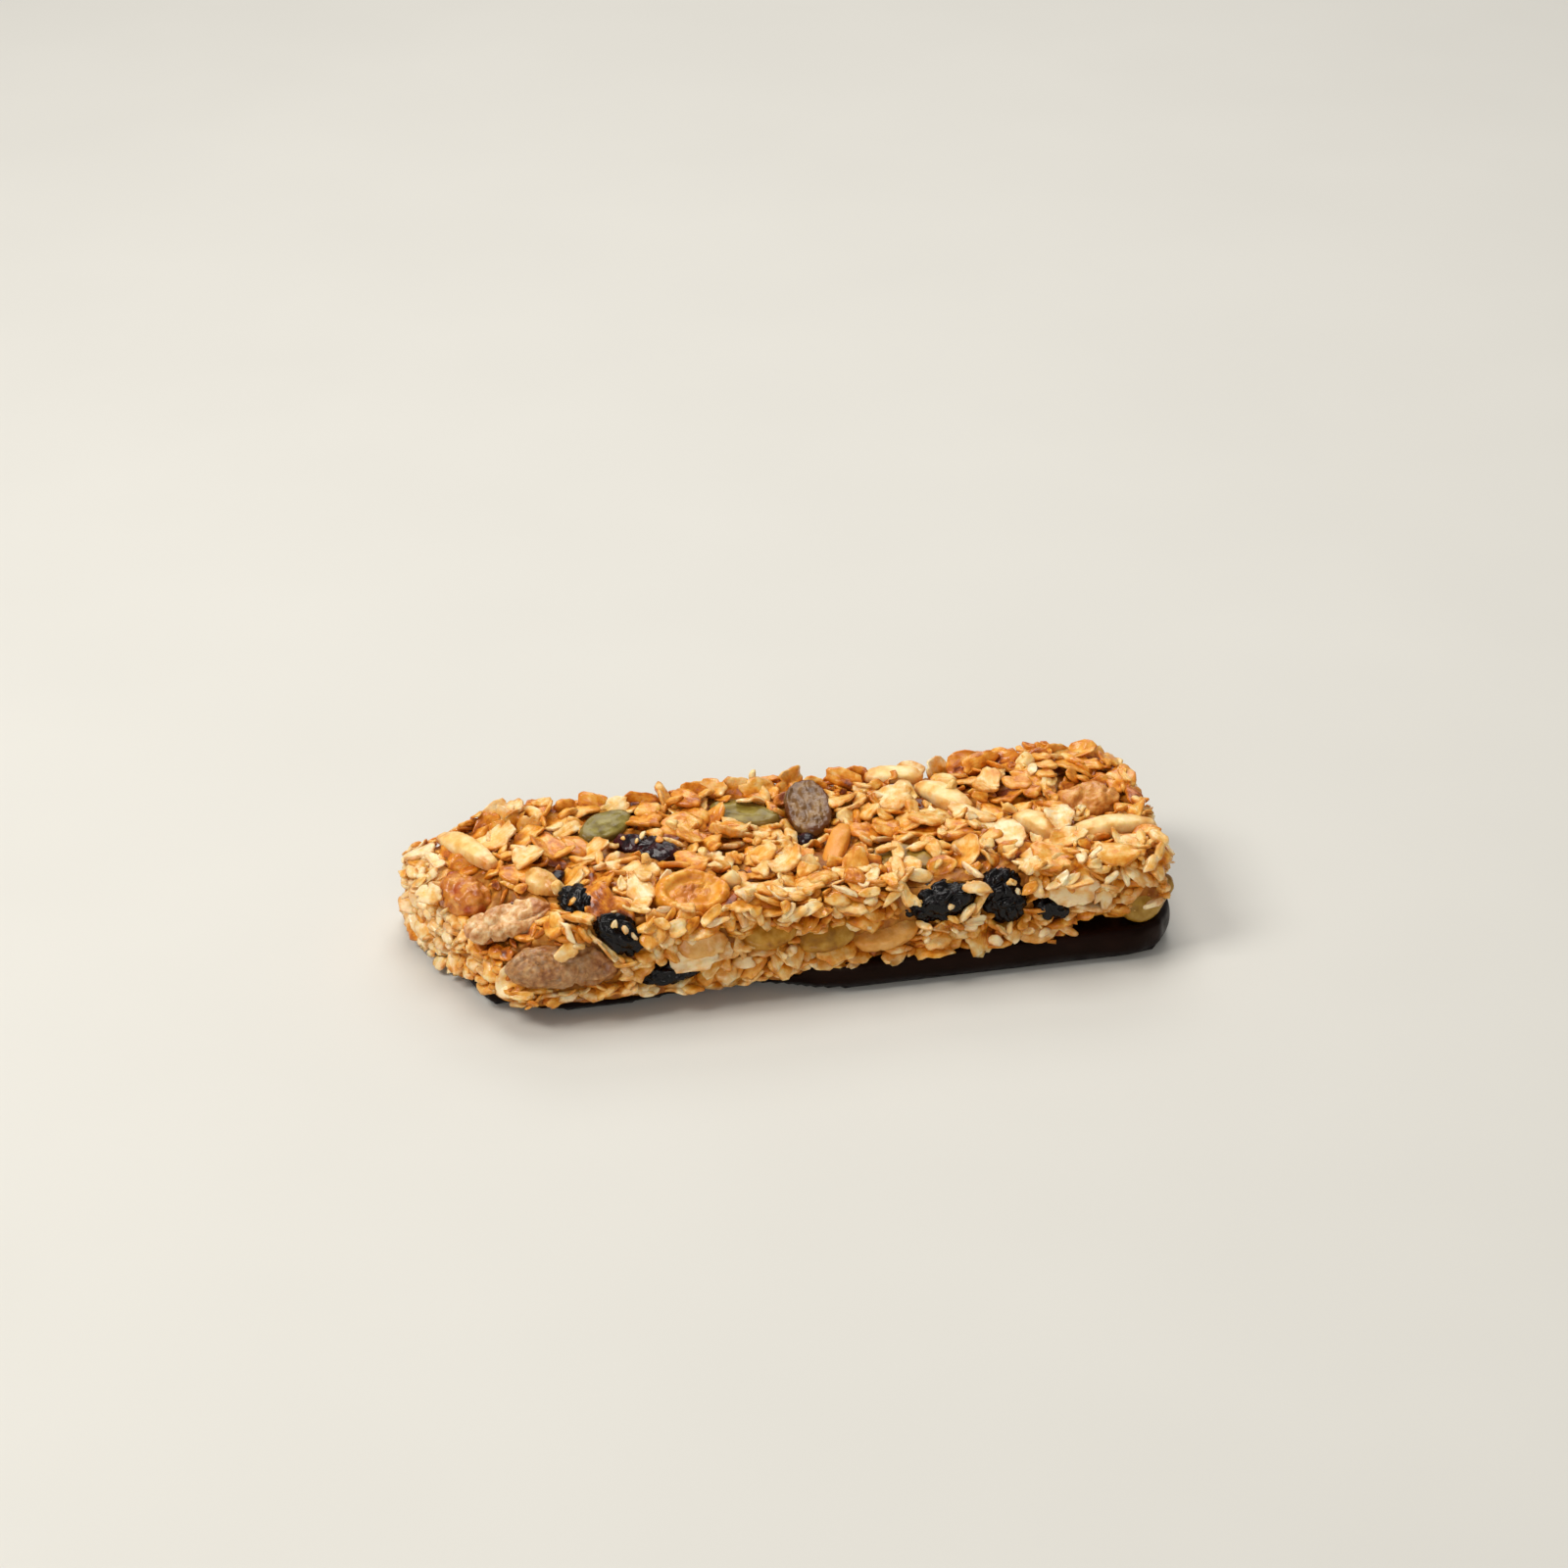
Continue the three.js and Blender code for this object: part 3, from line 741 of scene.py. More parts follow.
def fill(side, rng, mix, rounds, spare, **options):
    """Lays flakes where the side is lowest. `mix` gives each kind's share; where one doesn't fit, the next
    smaller one is tried."""
    names, shares = list(mix), np.array(list(mix.values()))

    def attempt(i, j):
        kind = names[rng.choice(len(names), p=shares / shares.sum())]
        return lay(side, rng, kind, i, j, **options) or lay(side, rng, NEXT_DOWN[kind], i, j, **options)

    return in_rounds(side, rng, rounds, spare, attempt, PATIENCE)


def covers_shy(flake, side):
    """Whether a flake lies over a fruit or nut that is to stay uncovered, seen from this side."""
    outline = np.concatenate([proxy_of(flake), flake["centre"][None]])
    local = side.from_bar(outline)
    i = np.clip(((local[:, 0] - side.us[0]) / CELL).astype(int), 0, side.shape[0] - 1)
    j = np.clip(((local[:, 1] - side.vs[0]) / CELL).astype(int), 0, side.shape[1] - 1)
    over = [(shy & (high > side.target - CLEAR_OF_TOP))[i, j] & (local[:, 2] > high[i, j] - 1.0)
            for high, shy in zip(side.highs, side.shy)]
    return np.sum(over) >= 2


NEAR_SURFACE = 2.0  # a fruit or nut this near to a wall's surface isn't wedged over
WEDGE_SLOPE = 0.17  # spread of the slopes of the flakes in a wall


def wedge(wall, rng, kind, i, j):
    """Tries to push one flake flat into a gap of a wall, so that its edge shows."""
    half, width, thick = draw_size(rng, kind)
    turn = rng.normal(0, 0.7)
    deep = math.hypot(half * math.sin(turn), width * math.cos(turn))
    wide = math.hypot(half * math.cos(turn), width * math.sin(turn))
    rows = slice(max(i - int(wide / CELL), 0), i + int(wide / CELL) + 1)
    columns = slice(max(j - 1, 0), j + 1)
    for high, shy in zip(wall.highs, wall.shy):
        if (shy & (high > wall.target - NEAR_SURFACE))[rows, columns].mean() > 0.1:
            return None
    level = wall.target[i, j] + rng.normal(-0.3, 0.35) - deep
    at = wall.to_bar(np.array((wall.us[i], wall.vs[j], level)))
    slopes = rng.normal(0, WEDGE_SLOPE, 2)
    heading = math.atan2(wall.axes[0][1], wall.axes[0][0])
    flake = place_flake(top_side, kind, at, slopes, turn + heading, (half, width, 1.3 * thick))
    if not within_bar(flake, 0.6, 0.1, 0.2) or covers_shy(flake, top_side) or covers_shy(flake, wall):
        return None
    wall.height[rows, columns] = np.maximum(wall.height[rows, columns], wall.target[i, j] - 0.3)
    return flake


def wedge_in(wall, rng, rounds, spare):
    kinds, shares = ("whole", "broken", "shard"), (0.35, 0.4, 0.25)

    def attempt(i, j):
        return wedge(wall, rng, rng.choice(kinds, p=shares), i, j)

    return in_rounds(wall, rng, rounds, spare, attempt)


# ---- Flake shapes ----
def quads(p, q, r, t):
    """Two triangles for each four-cornered face, whose corners are in p, q, r and t."""
    return np.concatenate([np.stack([p, q, r], -1).reshape(-1, 3), np.stack([p, r, t], -1).reshape(-1, 3)])


def ring_triangles(inner, outer):
    """The band of triangles between two rings of the same number of points."""
    return quads(inner, outer, np.roll(outer, -1), np.roll(inner, -1))


def flake_outline(rng, angle, cut):
    power = rng.uniform(1.8, 2.7)
    far = (np.abs(np.cos(angle)) ** power + np.abs(np.sin(angle)) ** power) ** (-1 / power)
    for n in (2, 3, 4, 5, 7):
        far *= 1 + rng.uniform(0, 0.065) * np.cos(n * angle + rng.uniform(0, TAU))
    far *= 1 + rng.normal(0, 0.035, len(angle))
    for _ in range(rng.integers(0, 4)):
        far[rng.integers(len(angle))] *= rng.uniform(0.62, 0.88)
    if cut:
        for _ in range(rng.integers(1, 4)):
            facing = np.cos(angle - rng.uniform(0, TAU))
            edge = rng.uniform(0.3, 0.8) * (1 + rng.normal(0, 0.07, len(angle)))
            far = np.where(facing > 0.05, np.minimum(far, edge / np.maximum(facing, 0.05)), far)
        far = 0.7 * far + 0.15 * (np.roll(far, 1) + np.roll(far, -1))
    return far


# How far out a flake's rings lie, by how many there are.
RING_SHARES = {1: (1.0,), 2: (0.78, 1.0), 3: (0.5, 0.88, 1.0), 4: (0.42, 0.74, 0.93, 1.0)}


def flake_shape(rng, sectors, rings, under_rings, cut=False):
    """A curled, ragged, pillow-edged disc of half-length 1. Its points are (x, y, bend, half thickness), and
    `corners` lays its top in the left half of the baking map and its underside in the right."""
    angle = TAU * (np.arange(sectors) + rng.uniform(-0.25, 0.25, sectors)) / sectors
    far = flake_outline(rng, angle, cut)
    cup, saddle, twist = rng.normal(0.03, 0.15), rng.normal(0, 0.12), rng.normal(0, 0.12)
    waves = [(n, rng.uniform(0.0, 0.06), rng.uniform(0, TAU)) for n in (2, 3, 5)]
    fold, fold_way, fold_at = max(0.0, rng.normal(0, 0.3)), rng.uniform(0, TAU), rng.uniform(-0.1, 0.5)
    lumps = [(rng.normal(0, 2.6, 2), rng.uniform(0, TAU)) for _ in range(4)]
    crease = rng.uniform(0.05, 0.4)

    def surface(shares, sign):
        share = np.concatenate([[0.0], np.repeat(shares, sectors)])
        around = np.concatenate([[0.0], np.tile(angle, len(shares))])
        distance = share * np.concatenate([[0.0], np.tile(far, len(shares))])
        x, y = distance * np.cos(around), distance * np.sin(around)
        bend = cup * (x * x + 0.6 * y * y) + saddle * (x * x - y * y) + twist * x * y
        for n, amount, phase in waves:
            bend = bend + amount * share**2 * np.sin(n * around + phase)
        bend = bend + fold * np.maximum(x * math.cos(fold_way) + y * math.sin(fold_way) - fold_at, 0)
        half = 0.19 + 0.31 * np.sqrt(np.maximum(1 - share**4, 0))
        for way, phase in lumps:
            half = half + 0.09 * (1 - share**3) * np.sin(way[0] * x + way[1] * y + phase)
        if sign > 0:
            half = half - crease * np.exp(-((y / 0.15) ** 2)) * (1 - share) * 0.6
        return np.stack([x, y, bend, sign * half], 1), share

    top, top_share = surface(np.array(RING_SHARES[rings]), 1)
    low, low_share = surface(np.array(RING_SHARES[under_rings]), -1)
    around = np.arange(sectors)

    def shell(first, count, flip):
        fan = np.stack([np.full(sectors, first), first + 1 + around, first + 1 + np.roll(around, -1)], 1)
        bands = [
            ring_triangles(first + 1 + sectors * k + around, first + 1 + sectors * (k + 1) + around)
            for k in range(count - 1)
        ]
        made = np.concatenate([fan, *bands])
        return made[:, ::-1] if flip else made

    above = shell(0, rings, False)
    below = shell(len(top), under_rings, True)
    top_edge = 1 + sectors * (rings - 1) + around
    low_edge = len(top) + 1 + sectors * (under_rings - 1) + around
    rim = ring_triangles(top_edge, low_edge)
    points = np.concatenate([top, low])
    flat = points[:, :2] / np.abs(points[:, :2]).max()
    left_half, right_half = np.array((0.25, 0.5)), np.array((0.75, 0.5))
    on_top = left_half + (0.2, 0.4) * flat
    on_top[low_edge] = left_half + (0.23, 0.46) * flat[low_edge]
    underneath = right_half + (0.2, 0.4) * flat
    triangles = np.concatenate([above, rim, below])
    corners = np.concatenate([on_top[above], on_top[rim], underneath[below]])
    edge = np.concatenate([top_share, low_share]) ** 5
    return dict(points=points, triangles=triangles, corners=corners, rim=edge)


def flake_points(flake, shape, rng):
    """The shape's points laid at the flake's place."""
    half, width, thick = flake["size"]
    x, y, bend, thickness = shape["points"].T
    flip = 1.0 if rng.random() < 0.6 else -1.0
    local = np.stack([x * half, y * width, flip * bend * half * 0.8 + thickness * thick], 1)
    return flake["centre"] + local @ flake["ways"]


# ---- The pile ----
def join_arrays(parts):
    """Points and triangles of several meshes as one, with the number of the mesh each triangle is from."""
    points, triangles, owner, first = [], [], [], 0
    for k, (p, t) in enumerate(parts):
        points.append(p)
        triangles.append(t + first)
        owner.append(np.full(len(t), k))
        first += len(p)
    return np.concatenate(points), np.concatenate(triangles), np.concatenate(owner)


def discs_of(flakes):
    """A flat disc for each flake, as points and triangles."""
    return [(proxy_of(f), FAN) for f in flakes]


# The azimuth and elevation that a flake may be seen from, and the step between the rays.
SIGHTS = [(0, 89.9)] + [(a, 55) for a in range(0, 360, 60)] + [(a, 22) for a in range(0, 360, 45)]
SIGHT_STEP = 0.55


def count_sightings(flakes, solids):
    """Counts how many rays from all round meet each flake first."""
    points, triangles, owner = join_arrays(discs_of(flakes) + solids)
    tree = tree_of(points, triangles)
    low, high = points.min(0), points.max(0)
    centre, radius = (low + high) / 2, np.linalg.norm(high - low) / 2
    for azimuth, elevation in SIGHTS:
        back = np.array(towards(math.radians(azimuth), math.radians(elevation)))
        right = np.cross((0, 0, 1.0), back)
        right /= np.linalg.norm(right)
        up = np.cross(back, right)
        reach_u = np.abs((points - centre) @ right).max()
        reach_v = np.abs((points - centre) @ up).max()
        for u in np.arange(-reach_u, reach_u, SIGHT_STEP):
            for v in np.arange(-reach_v, reach_v, SIGHT_STEP):
                start = centre + u * right + v * up + 1.5 * radius * back
                index = tree.ray_cast(Vector(start), Vector(-back))[2]
                if index is not None and owner[index] < len(flakes):
                    flakes[owner[index]]["seen"] += 1


TOUCHING = 1.5  # how near two flakes' outlines come when one lies on the other


def held(flakes, solids):
    """The flakes that lie against others, without the few that would hang in the air."""
    discs = []
    for flake in flakes:
        outline, centre = proxy_of(flake), flake["centre"]
        discs.append(np.concatenate([outline, (outline + centre) / 2, centre[None]]))
    owner = np.repeat(np.arange(len(discs)), len(discs[0]))
    places = np.concatenate([*discs, *(points for points, _ in solids)])
    owner = np.concatenate([owner, np.full(len(places) - len(owner), -1)])
    tree = KDTree(len(places))
    for k, place in enumerate(places):
        tree.insert(place, k)
    tree.balance()
    kept = []
    for number, (flake, disc) in enumerate(zip(flakes, discs)):
        near = [{owner[k] for _, k, _ in tree.find_range(place, TOUCHING)} - {number} for place in disc]
        if sum(1 for others in near if others) >= len(disc) / 3:
            kept.append(flake)
    return kept


def without_cover(flakes, name, most=0.1):
    """The flakes without those that hide more than this share of a fruit or seed from the photo's side."""
    points, triangles, owner = join_arrays(discs_of(flakes))
    tree = tree_of(points, triangles)
    back = towards(VIEW_AZIMUTH, VIEW_ELEVATION)
    body, faces = solid_of[name]
    seen = body[normals_of(body, faces) @ np.array(back) > 0.3]
    met = [tree.ray_cast(Vector(place) + 0.1 * back, back)[2] for place in seen]
    hits = np.bincount([owner[k] for k in met if k is not None], minlength=len(flakes))
    return [f for f, count in zip(flakes, hits) if count <= most * len(seen)]


def between(low, high, x):
    """From 0 at low to 1 at high."""
    return min(max((x - low) / (high - low), 0.0), 1.0)


def toast_and_painted_light(flake):
    """How much darker a flake is for its place: the back right end is toasted, and the left end and the front
    are made paler as painted light.
    """
    x, y, _ = flake["centre"]
    hump, back = between(30, 52, x) * between(-2, 12, y), between(12, 20, y)
    front, left = between(-16, -20, y), between(-54, -60, x)
    return 0.17 * hump + 0.02 * back - 0.34 * left - 0.13 * front


def sunken(points):
    """From 0 at the surface of the pile to 1 well below it, where the flakes get painted shade: their tone is
    made darker and more amber there.
    """
    depths = [side.sample(side.crest, points) - side.from_bar(points)[:, 2] for side in (top_side, *walls)]
    return smoothstep(0.3, 2.4, np.min(depths, axis=0))


TONE, TONE_SPREAD = 0.38, 0.15
# How much painted shade darkens and warms a flake's tone where it lies deep in the pile.
PAINTED_SHADE_TONE = 0.42


def flakes_piece(name, flakes, shapes, material, rng):
    """One piece of many flakes, each a copy of one of the shapes, with its own cell of the baking map."""
    columns = math.ceil(math.sqrt(len(flakes) / 2))
    rows = math.ceil(len(flakes) / columns)
    cell = np.array((1 / columns, 1 / rows))
    parts, tone, rim, grain, corners = [], [], [], [], []
    for number, flake in enumerate(flakes):
        shape = shapes[rng.integers(len(shapes))]
        points = flake_points(flake, shape, rng)
        points[:, 2] = np.maximum(points[:, 2], top_side.sample(chocolate_top, points) - 0.2)
        points = np.clip(points, LOWEST_CORNER, HIGHEST_CORNER)
        parts.append((points, shape["triangles"]))
        # Painted light: paler flakes at the bar's left end and front.
        shade = rng.normal(TONE, TONE_SPREAD) + toast_and_painted_light(flake) + flake.get("toast", 0.0)
        # Painted shade: a darker, more amber tone where the flake lies deep in the pile.
        tone.append(np.clip(shade, 0.02, 0.98) + PAINTED_SHADE_TONE * sunken(points))
        rim.append(shape["rim"])
        half, width, _ = flake["size"]
        x, y, _, thickness = shape["points"].T
        grain.append(np.stack([0.22 * x * half, y * width, thickness + 7.0 * number], 1))
        corners.append((shape["corners"] + (number % columns, number // columns)) * cell)
    points, triangles, _ = join_arrays(parts)
    values = dict(tone=np.concatenate(tone), rim=np.concatenate(rim), grain=np.concatenate(grain))
    make_piece(name, points, triangles, material, (SLAB,), values, np.concatenate(corners))


def standing(kind, centre, facing, turn, size, toast=0.0):
    """A flake at a given place: `facing` is the azimuth and elevation that its face looks to, and `turn` is
    how far its length is turned from the level, all in degrees."""
    out = np.array(towards(math.radians(facing[0]), math.radians(facing[1])))
    level = np.cross((0, 0, 1.0), out)
    level /= np.linalg.norm(level)
    rise = np.cross(out, level)
    angle = math.radians(turn)
    along = math.cos(angle) * level + math.sin(angle) * rise
    ways = np.stack([along, np.cross(out, along), out])
    return dict(kind=kind, centre=np.array(centre, float), ways=ways, size=size, seen=0, toast=toast)


def landmarks():
    """The large flakes that the photo shows singly."""
    return [
        standing("whole", (-34.4, -15.4, 18.2), (-20, 48), -46, (5.8, 2.9, 1.3), 0.16),
        standing("whole", (8.3, -12.4, 17.8), (-12, 42), 78, (4.7, 3.0, 1.3), 0.02),
        standing("broken", (14.4, -16.6, 15.8), (8, 24), 66, (3.4, 2.3, 1.1), 0.14),
        standing("broken", (23.0, -15.2, 18.6), (-20, 40), 20, (2.7, 2.2, 1.0), 0.1),
        standing("broken", (24.8, -14.6, 18.2), (55, 38), 80, (2.6, 2.0, 1.0), 0.18),
        standing("broken", (21.9, -13.6, 18.7), (-80, 50), 60, (2.4, 1.8, 0.9), 0.0),
        standing("whole", (44.4, -20.3, 14.9), (-5, 26), 8, (4.5, 3.1, 1.2), -0.08),
        standing("whole", (50.6, -19.6, 13.6), (12, 30), 60, (3.6, 2.6, 1.1), 0.05),
        standing("whole", (-21.0, -20.7, 10.0), (-10, 18), 12, (4.0, 2.2, 1.0), -0.1),
        standing("whole", (-8.4, -14.9, 16.6), (-15, 55), 30, (4.2, 2.9, 1.1), 0.0),
        standing("whole", (2.6, -18.2, 14.7), (5, 35), -12, (4.3, 2.4, 1.1), 0.02),
        standing("whole", (-61.6, 2.4, 14.6), (-70, 40), 20, (3.4, 1.8, 0.9), -0.05),
        standing("whole", (-45.0, 14.5, 18.6), (-25, 12), 60, (3.6, 2.2, 1.0), 0.0),
        standing("whole", (-42.6, 13.0, 18.4), (-5, 18), 75, (3.3, 2.0, 1.0), 0.05),
        standing("whole", (-49.6, 16.0, 17.8), (10, 25), 50, (3.6, 2.1, 1.0), 0.08),
    ]


def edge_flakes(rng):
    """Flakes that stand up along the back edge and round the left end, for the bar's ragged outline."""
    along_back = [(x, 18.0) for x in np.arange(-56.0, 61.0, 4.3)]
    along_left = [(-60.0, y) for y in np.arange(-13.0, 16.0, 4.4)]
    made = []
    for x, y in along_back + along_left:
        at = np.array((x + rng.uniform(-1.2, 1.2), y + rng.uniform(-1.2, 1.2), 0.0))
        at[2] = top_side.sample(top_side.target, at[None])[0] + rng.uniform(-0.6, 0.7)
        facing = (-13 + rng.normal(0, 35), rng.uniform(15, 50))
        size = (rng.uniform(2.4, 3.7), rng.uniform(1.6, 2.4), rng.uniform(0.8, 1.1))
        flake = standing("whole", at, facing, rng.uniform(-40, 40), size, rng.uniform(-0.1, 0.1))
        flake["centre"][2] -= max(0.0, proxy_of(flake)[:, 2].max() + 0.5 - HIGHEST)
        flake["centre"] += overshoot(flake, 1.2)
        made.append(flake)
    return made


def crumbs_on(names, rng):
    """Small bits of oat stuck to the sides of the dark fruit that face up and to the front."""
    made = []
    for name in names:
        points, triangles = solid_of[name]
        normals = normals_of(points, triangles)
        facing_out = np.nonzero(normals @ np.array((-0.1, -0.65, 0.75)) > 0.7)[0]
        for k in rng.choice(facing_out, 4):
            x, y, z = normals[k]
            facing = (math.degrees(math.atan2(x, -y)), math.degrees(math.asin(z)))
            half = rng.uniform(0.6, 1.2)
            size = (half, half * rng.uniform(0.55, 0.85), 0.6)
            at = points[k] + 0.1 * normals[k]
            made.append(standing("bit", at, facing, rng.uniform(-90, 90), size, -0.05))
    return made


# ---- Fruit, seeds and nuts ----
def remeshed(thing, voxel, smoothing, rounding=0):
    """A node's shape as points and triangles of an even mesh, first rounded off and then smoothed."""
    copy = bpy.data.objects.new("work", thing.data.copy())
    bpy.context.scene.collection.objects.link(copy)
    copy.modifiers.new("weld", "WELD").merge_threshold = 0.01 * MM
    copy.modifiers.new("rounding", "SUBSURF").levels = rounding
    even = copy.modifiers.new("even", "REMESH")
    even.mode, even.voxel_size = "VOXEL", voxel * MM
    smooth = copy.modifiers.new("smooth", "SMOOTH")
    smooth.factor, smooth.iterations = 0.5, smoothing
    evaluated = copy.evaluated_get(bpy.context.evaluated_depsgraph_get())
    made = bpy.data.objects.new("made", bpy.data.meshes.new_from_object(evaluated))
    points, triangles = arrays_of(made)
    for used in (copy, made):
        mesh = used.data
        bpy.data.objects.remove(used)
        bpy.data.meshes.remove(mesh)
    return points, triangles


def refined(name, voxel):
    """A fruit's, seed's or nut's shape as a fine mesh without facets, in the same box as before."""
    cut_straight = name.startswith("almond_sliver")
    points, triangles = remeshed(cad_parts[name], voxel, *((2, 0) if cut_straight else (4, 2)))
    low, high = solid_of[name][0].min(0), solid_of[name][0].max(0)
    return (points - points.min(0)) / np.ptp(points, axis=0) * (high - low) + low, triangles


def normals_of(points, triangles):
    a, b, c = (points[triangles[:, k]] for k in range(3))
    face = np.cross(b - a, c - a)
    total = np.zeros_like(points)
    for k in range(3):
        for axis in range(3):
            total[:, axis] += np.bincount(triangles[:, k], face[:, axis], len(points))
    return total / np.maximum(np.linalg.norm(total, axis=1, keepdims=True), 1e-9)


def own_frame(points):
    """Each point along the shape's own length, width and thickness: in millimetres, and as shares of them."""
    centre = (points.min(0) + points.max(0)) / 2
    ways = np.linalg.svd(points - centre, full_matrices=False)[2]
    ways *= np.where(ways.sum(1) < 0, -1, 1)[:, None]
    local = (points - centre) @ ways.T
    return local, local / np.abs(local).max(0)


def valley(n, width):
    """1 along the lines where the noise n is 0, falling off to either side."""
    return np.exp(-((n / width) ** 2))


def smoothstep(low, high, x):
    t = np.clip((x - low) / (high - low), 0, 1)
    return t * t * (3 - 2 * t)


def adrift(local, amount, size, seed):
    """Places shifted by noise, so that what is made from them wanders."""
    return local + amount * noise(local, size, seed)[:, None]


# Each form gives how far the surface rises at each point, and how much of the rim's colour it has there.
def wrinkled(local, share, seed):
    """A dried fruit: deep folds that run roughly along it, and finer ones between."""
    q = local * (0.6, 1, 1) + 0.6 * noise(local, 2.0, seed + 5)[:, None]
    folds = -0.62 * valley(noise(q, 1.8, seed), 0.22) - 0.42 * valley(noise(q, 0.95, seed + 1), 0.26)
    return np.minimum(folds + 0.5 * noise(q, 2.8, seed + 2) + 0.3, 0.5), 0 * folds


def soft_wrinkled(local, share, seed):
    q = local * (0.7, 1, 1) + 0.6 * noise(local, 2.4, seed + 5)[:, None]
    folds = -0.9 * valley(noise(q, 2.6, seed), 0.2) - 0.2 * valley(noise(q, 1.2, seed + 1), 0.24)
    return folds + 0.6 * noise(q, 3.0, seed + 2) + 0.2, smoothstep(0.0, 0.5, noise(local, 3.5, seed + 3))


def green_seed_form(local, share, seed):
    r = np.hypot(share[:, 0], share[:, 1])
    form = 0.28 * valley(r - 0.86, 0.08) - 0.12 * valley(r, 0.5)
    form = form + 0.12 * noise(local * (0.3, 1, 1), 0.9, seed) + 0.22 * noise(local, 3, seed + 1)
    return form, smoothstep(0.7, 0.95, r)


def roasted_seed_form(local, share, seed):
    r = np.hypot(share[:, 0], share[:, 1])
    q = local * (0.6, 1, 1)
    net = -0.3 * valley(noise(q, 1.5, seed), 0.2) - 0.16 * valley(noise(q, 0.8, seed + 1), 0.25)
    form = 0.45 * valley(r - 0.88, 0.09) - 0.35 * valley(r, 0.6) + net
    return form, smoothstep(0.6, 0.95, r) * smoothstep(-0.3, 0.3, noise(local, 2.4, seed + 3))


def walnut_form(local, share, seed):
    q = adrift(local, 0.7, 2.0, seed + 7)
    lobes = -0.6 * valley(noise(q, 2.6, seed), 0.16) + 0.3 * noise(q, 3.0, seed + 1)
    form = lobes + 0.32 * layered_noise(q, 1.3, seed + 2)
    return form, 0.8 * smoothstep(0.1, 0.6, noise(local, 3.2, seed + 4) + 0.6 * (share[:, 0] > 0.5) - 0.2)


def rough_nut_form(local, share, seed):
    q = adrift(local, 0.6, 2.0, seed + 7)
    form = 0.5 * noise(q, 2.2, seed) - 0.4 * valley(noise(q, 2.4, seed + 1), 0.16)
    form = form + 0.3 * layered_noise(q, 1.2, seed + 2)
    return form, smoothstep(0.1, 0.6, noise(local, 2.2, seed + 4))


def sliver_form(local, share, seed):
    form = 0.14 * noise(local * (0.4, 1, 1), 1.5, seed) + 0.05 * noise(local, 0.7, seed + 1)
    return form, smoothstep(0.5, 0.95, np.abs(share[:, 0]))


def nut_half_form(local, share, seed):
    form = 0.3 * noise(local, 2.6, seed) - 0.28 * valley(noise(local, 3.0, seed + 1), 0.14)
    return form + 0.12 * layered_noise(local, 1.1, seed + 2), smoothstep(0.6, 0.95, np.abs(share[:, 0]))


def chip_form(local, share, seed):
    """A dried slice: a thick puckered rim round a sunken, wrinkled middle."""
    r = np.hypot(share[:, 0], share[:, 1])
    around = np.arctan2(share[:, 1], share[:, 0])
    q = adrift(local, 0.5, 1.6, seed + 5)
    inner = 1 - smoothstep(0.4, 0.66, r)
    wander = 0.5 * noise(local, 3.0, seed + 4)
    pleats = valley(np.sin(5.5 * around + wander + 0.6), 0.3) * smoothstep(0.45, 0.8, r)
    lines = 0.4 * valley(noise(q, 1.6, seed), 0.24) + 0.2 * valley(noise(q, 0.9, seed + 1), 0.24)
    form = inner * (1.15 - 1.3 * lines) + 0.5 * valley(r - 0.76, 0.16) - 0.2 * pleats - 0.15 * lines
    reddish = 0.9 * inner * smoothstep(-0.3, 0.4, noise(local, 1.3, seed + 3))
    return form + 0.4 * noise(local, 2.4, seed + 2), reddish


# Each kind of node by its name: the material slot, the form, the look, and how fine its mesh is.
INCLUSIONS = {
    "raisin": ("raisin", wrinkled, raisin_look, 0.3),
    "cranberry": ("cranberry", soft_wrinkled, cranberry_look, 0.3),
    "roasted_seed": ("roasted_seed", roasted_seed_form, roasted_seed_look, 0.3),
    "green_seed": ("seed", green_seed_form, green_seed_look, 0.42),
    "walnut": ("walnut", walnut_form, walnut_look, 0.36),
    "skinned_almond": ("almond_skin", rough_nut_form, caramel_nut_look, 0.36),
    "almond_sliver": ("almond", sliver_form, almond_look, 0.42),
    "nut_half": ("peanut", nut_half_form, peanut_look, 0.4),
    "fruit_chip": ("chip", chip_form, chip_look, 0.32),
}
# How far the syrup over a piece hides its own colour.
UNDER_SYRUP = {
    "green_seed_1": 0.15, "green_seed_2": 0.45, "green_seed_3": 0.1, "green_seed_4": 0.55,
    "green_seed_5": 0.85, "green_seed_6": 0.75, "almond_sliver_4": 0.9,
    "walnut_1": 0.75, "nut_half_1": 0.6, "nut_half_3": 0.3, "skinned_almond_2": 0.85,
}


def add_inclusions():
    """The real fruit, seeds and nuts, each over its own node."""
    looks = {}
    for seed, name in enumerate(inclusions):
        kind = name.rsplit("_", 1)[0]
        slot, form, look, voxel = INCLUSIONS[kind]
        if kind not in looks:
            looks[kind] = look()
        points, triangles = refined(name, voxel)
        local, share = own_frame(points)
        lift, rim = form(local, share, 40 + 11 * seed)
        points = points + lift[:, None] * normals_of(points, triangles)
        points[:, 2] = np.minimum(points[:, 2], HIGHEST)
        values = dict(rim=rim, syrup=np.full(len(points), UNDER_SYRUP.get(name, 0.0)))
        make_piece("real_" + name, points, triangles, looks[kind], (name,), values)


# ---- Chocolate and core ----
BOTTOM_ROUND = 2.4  # radius of the lower edges


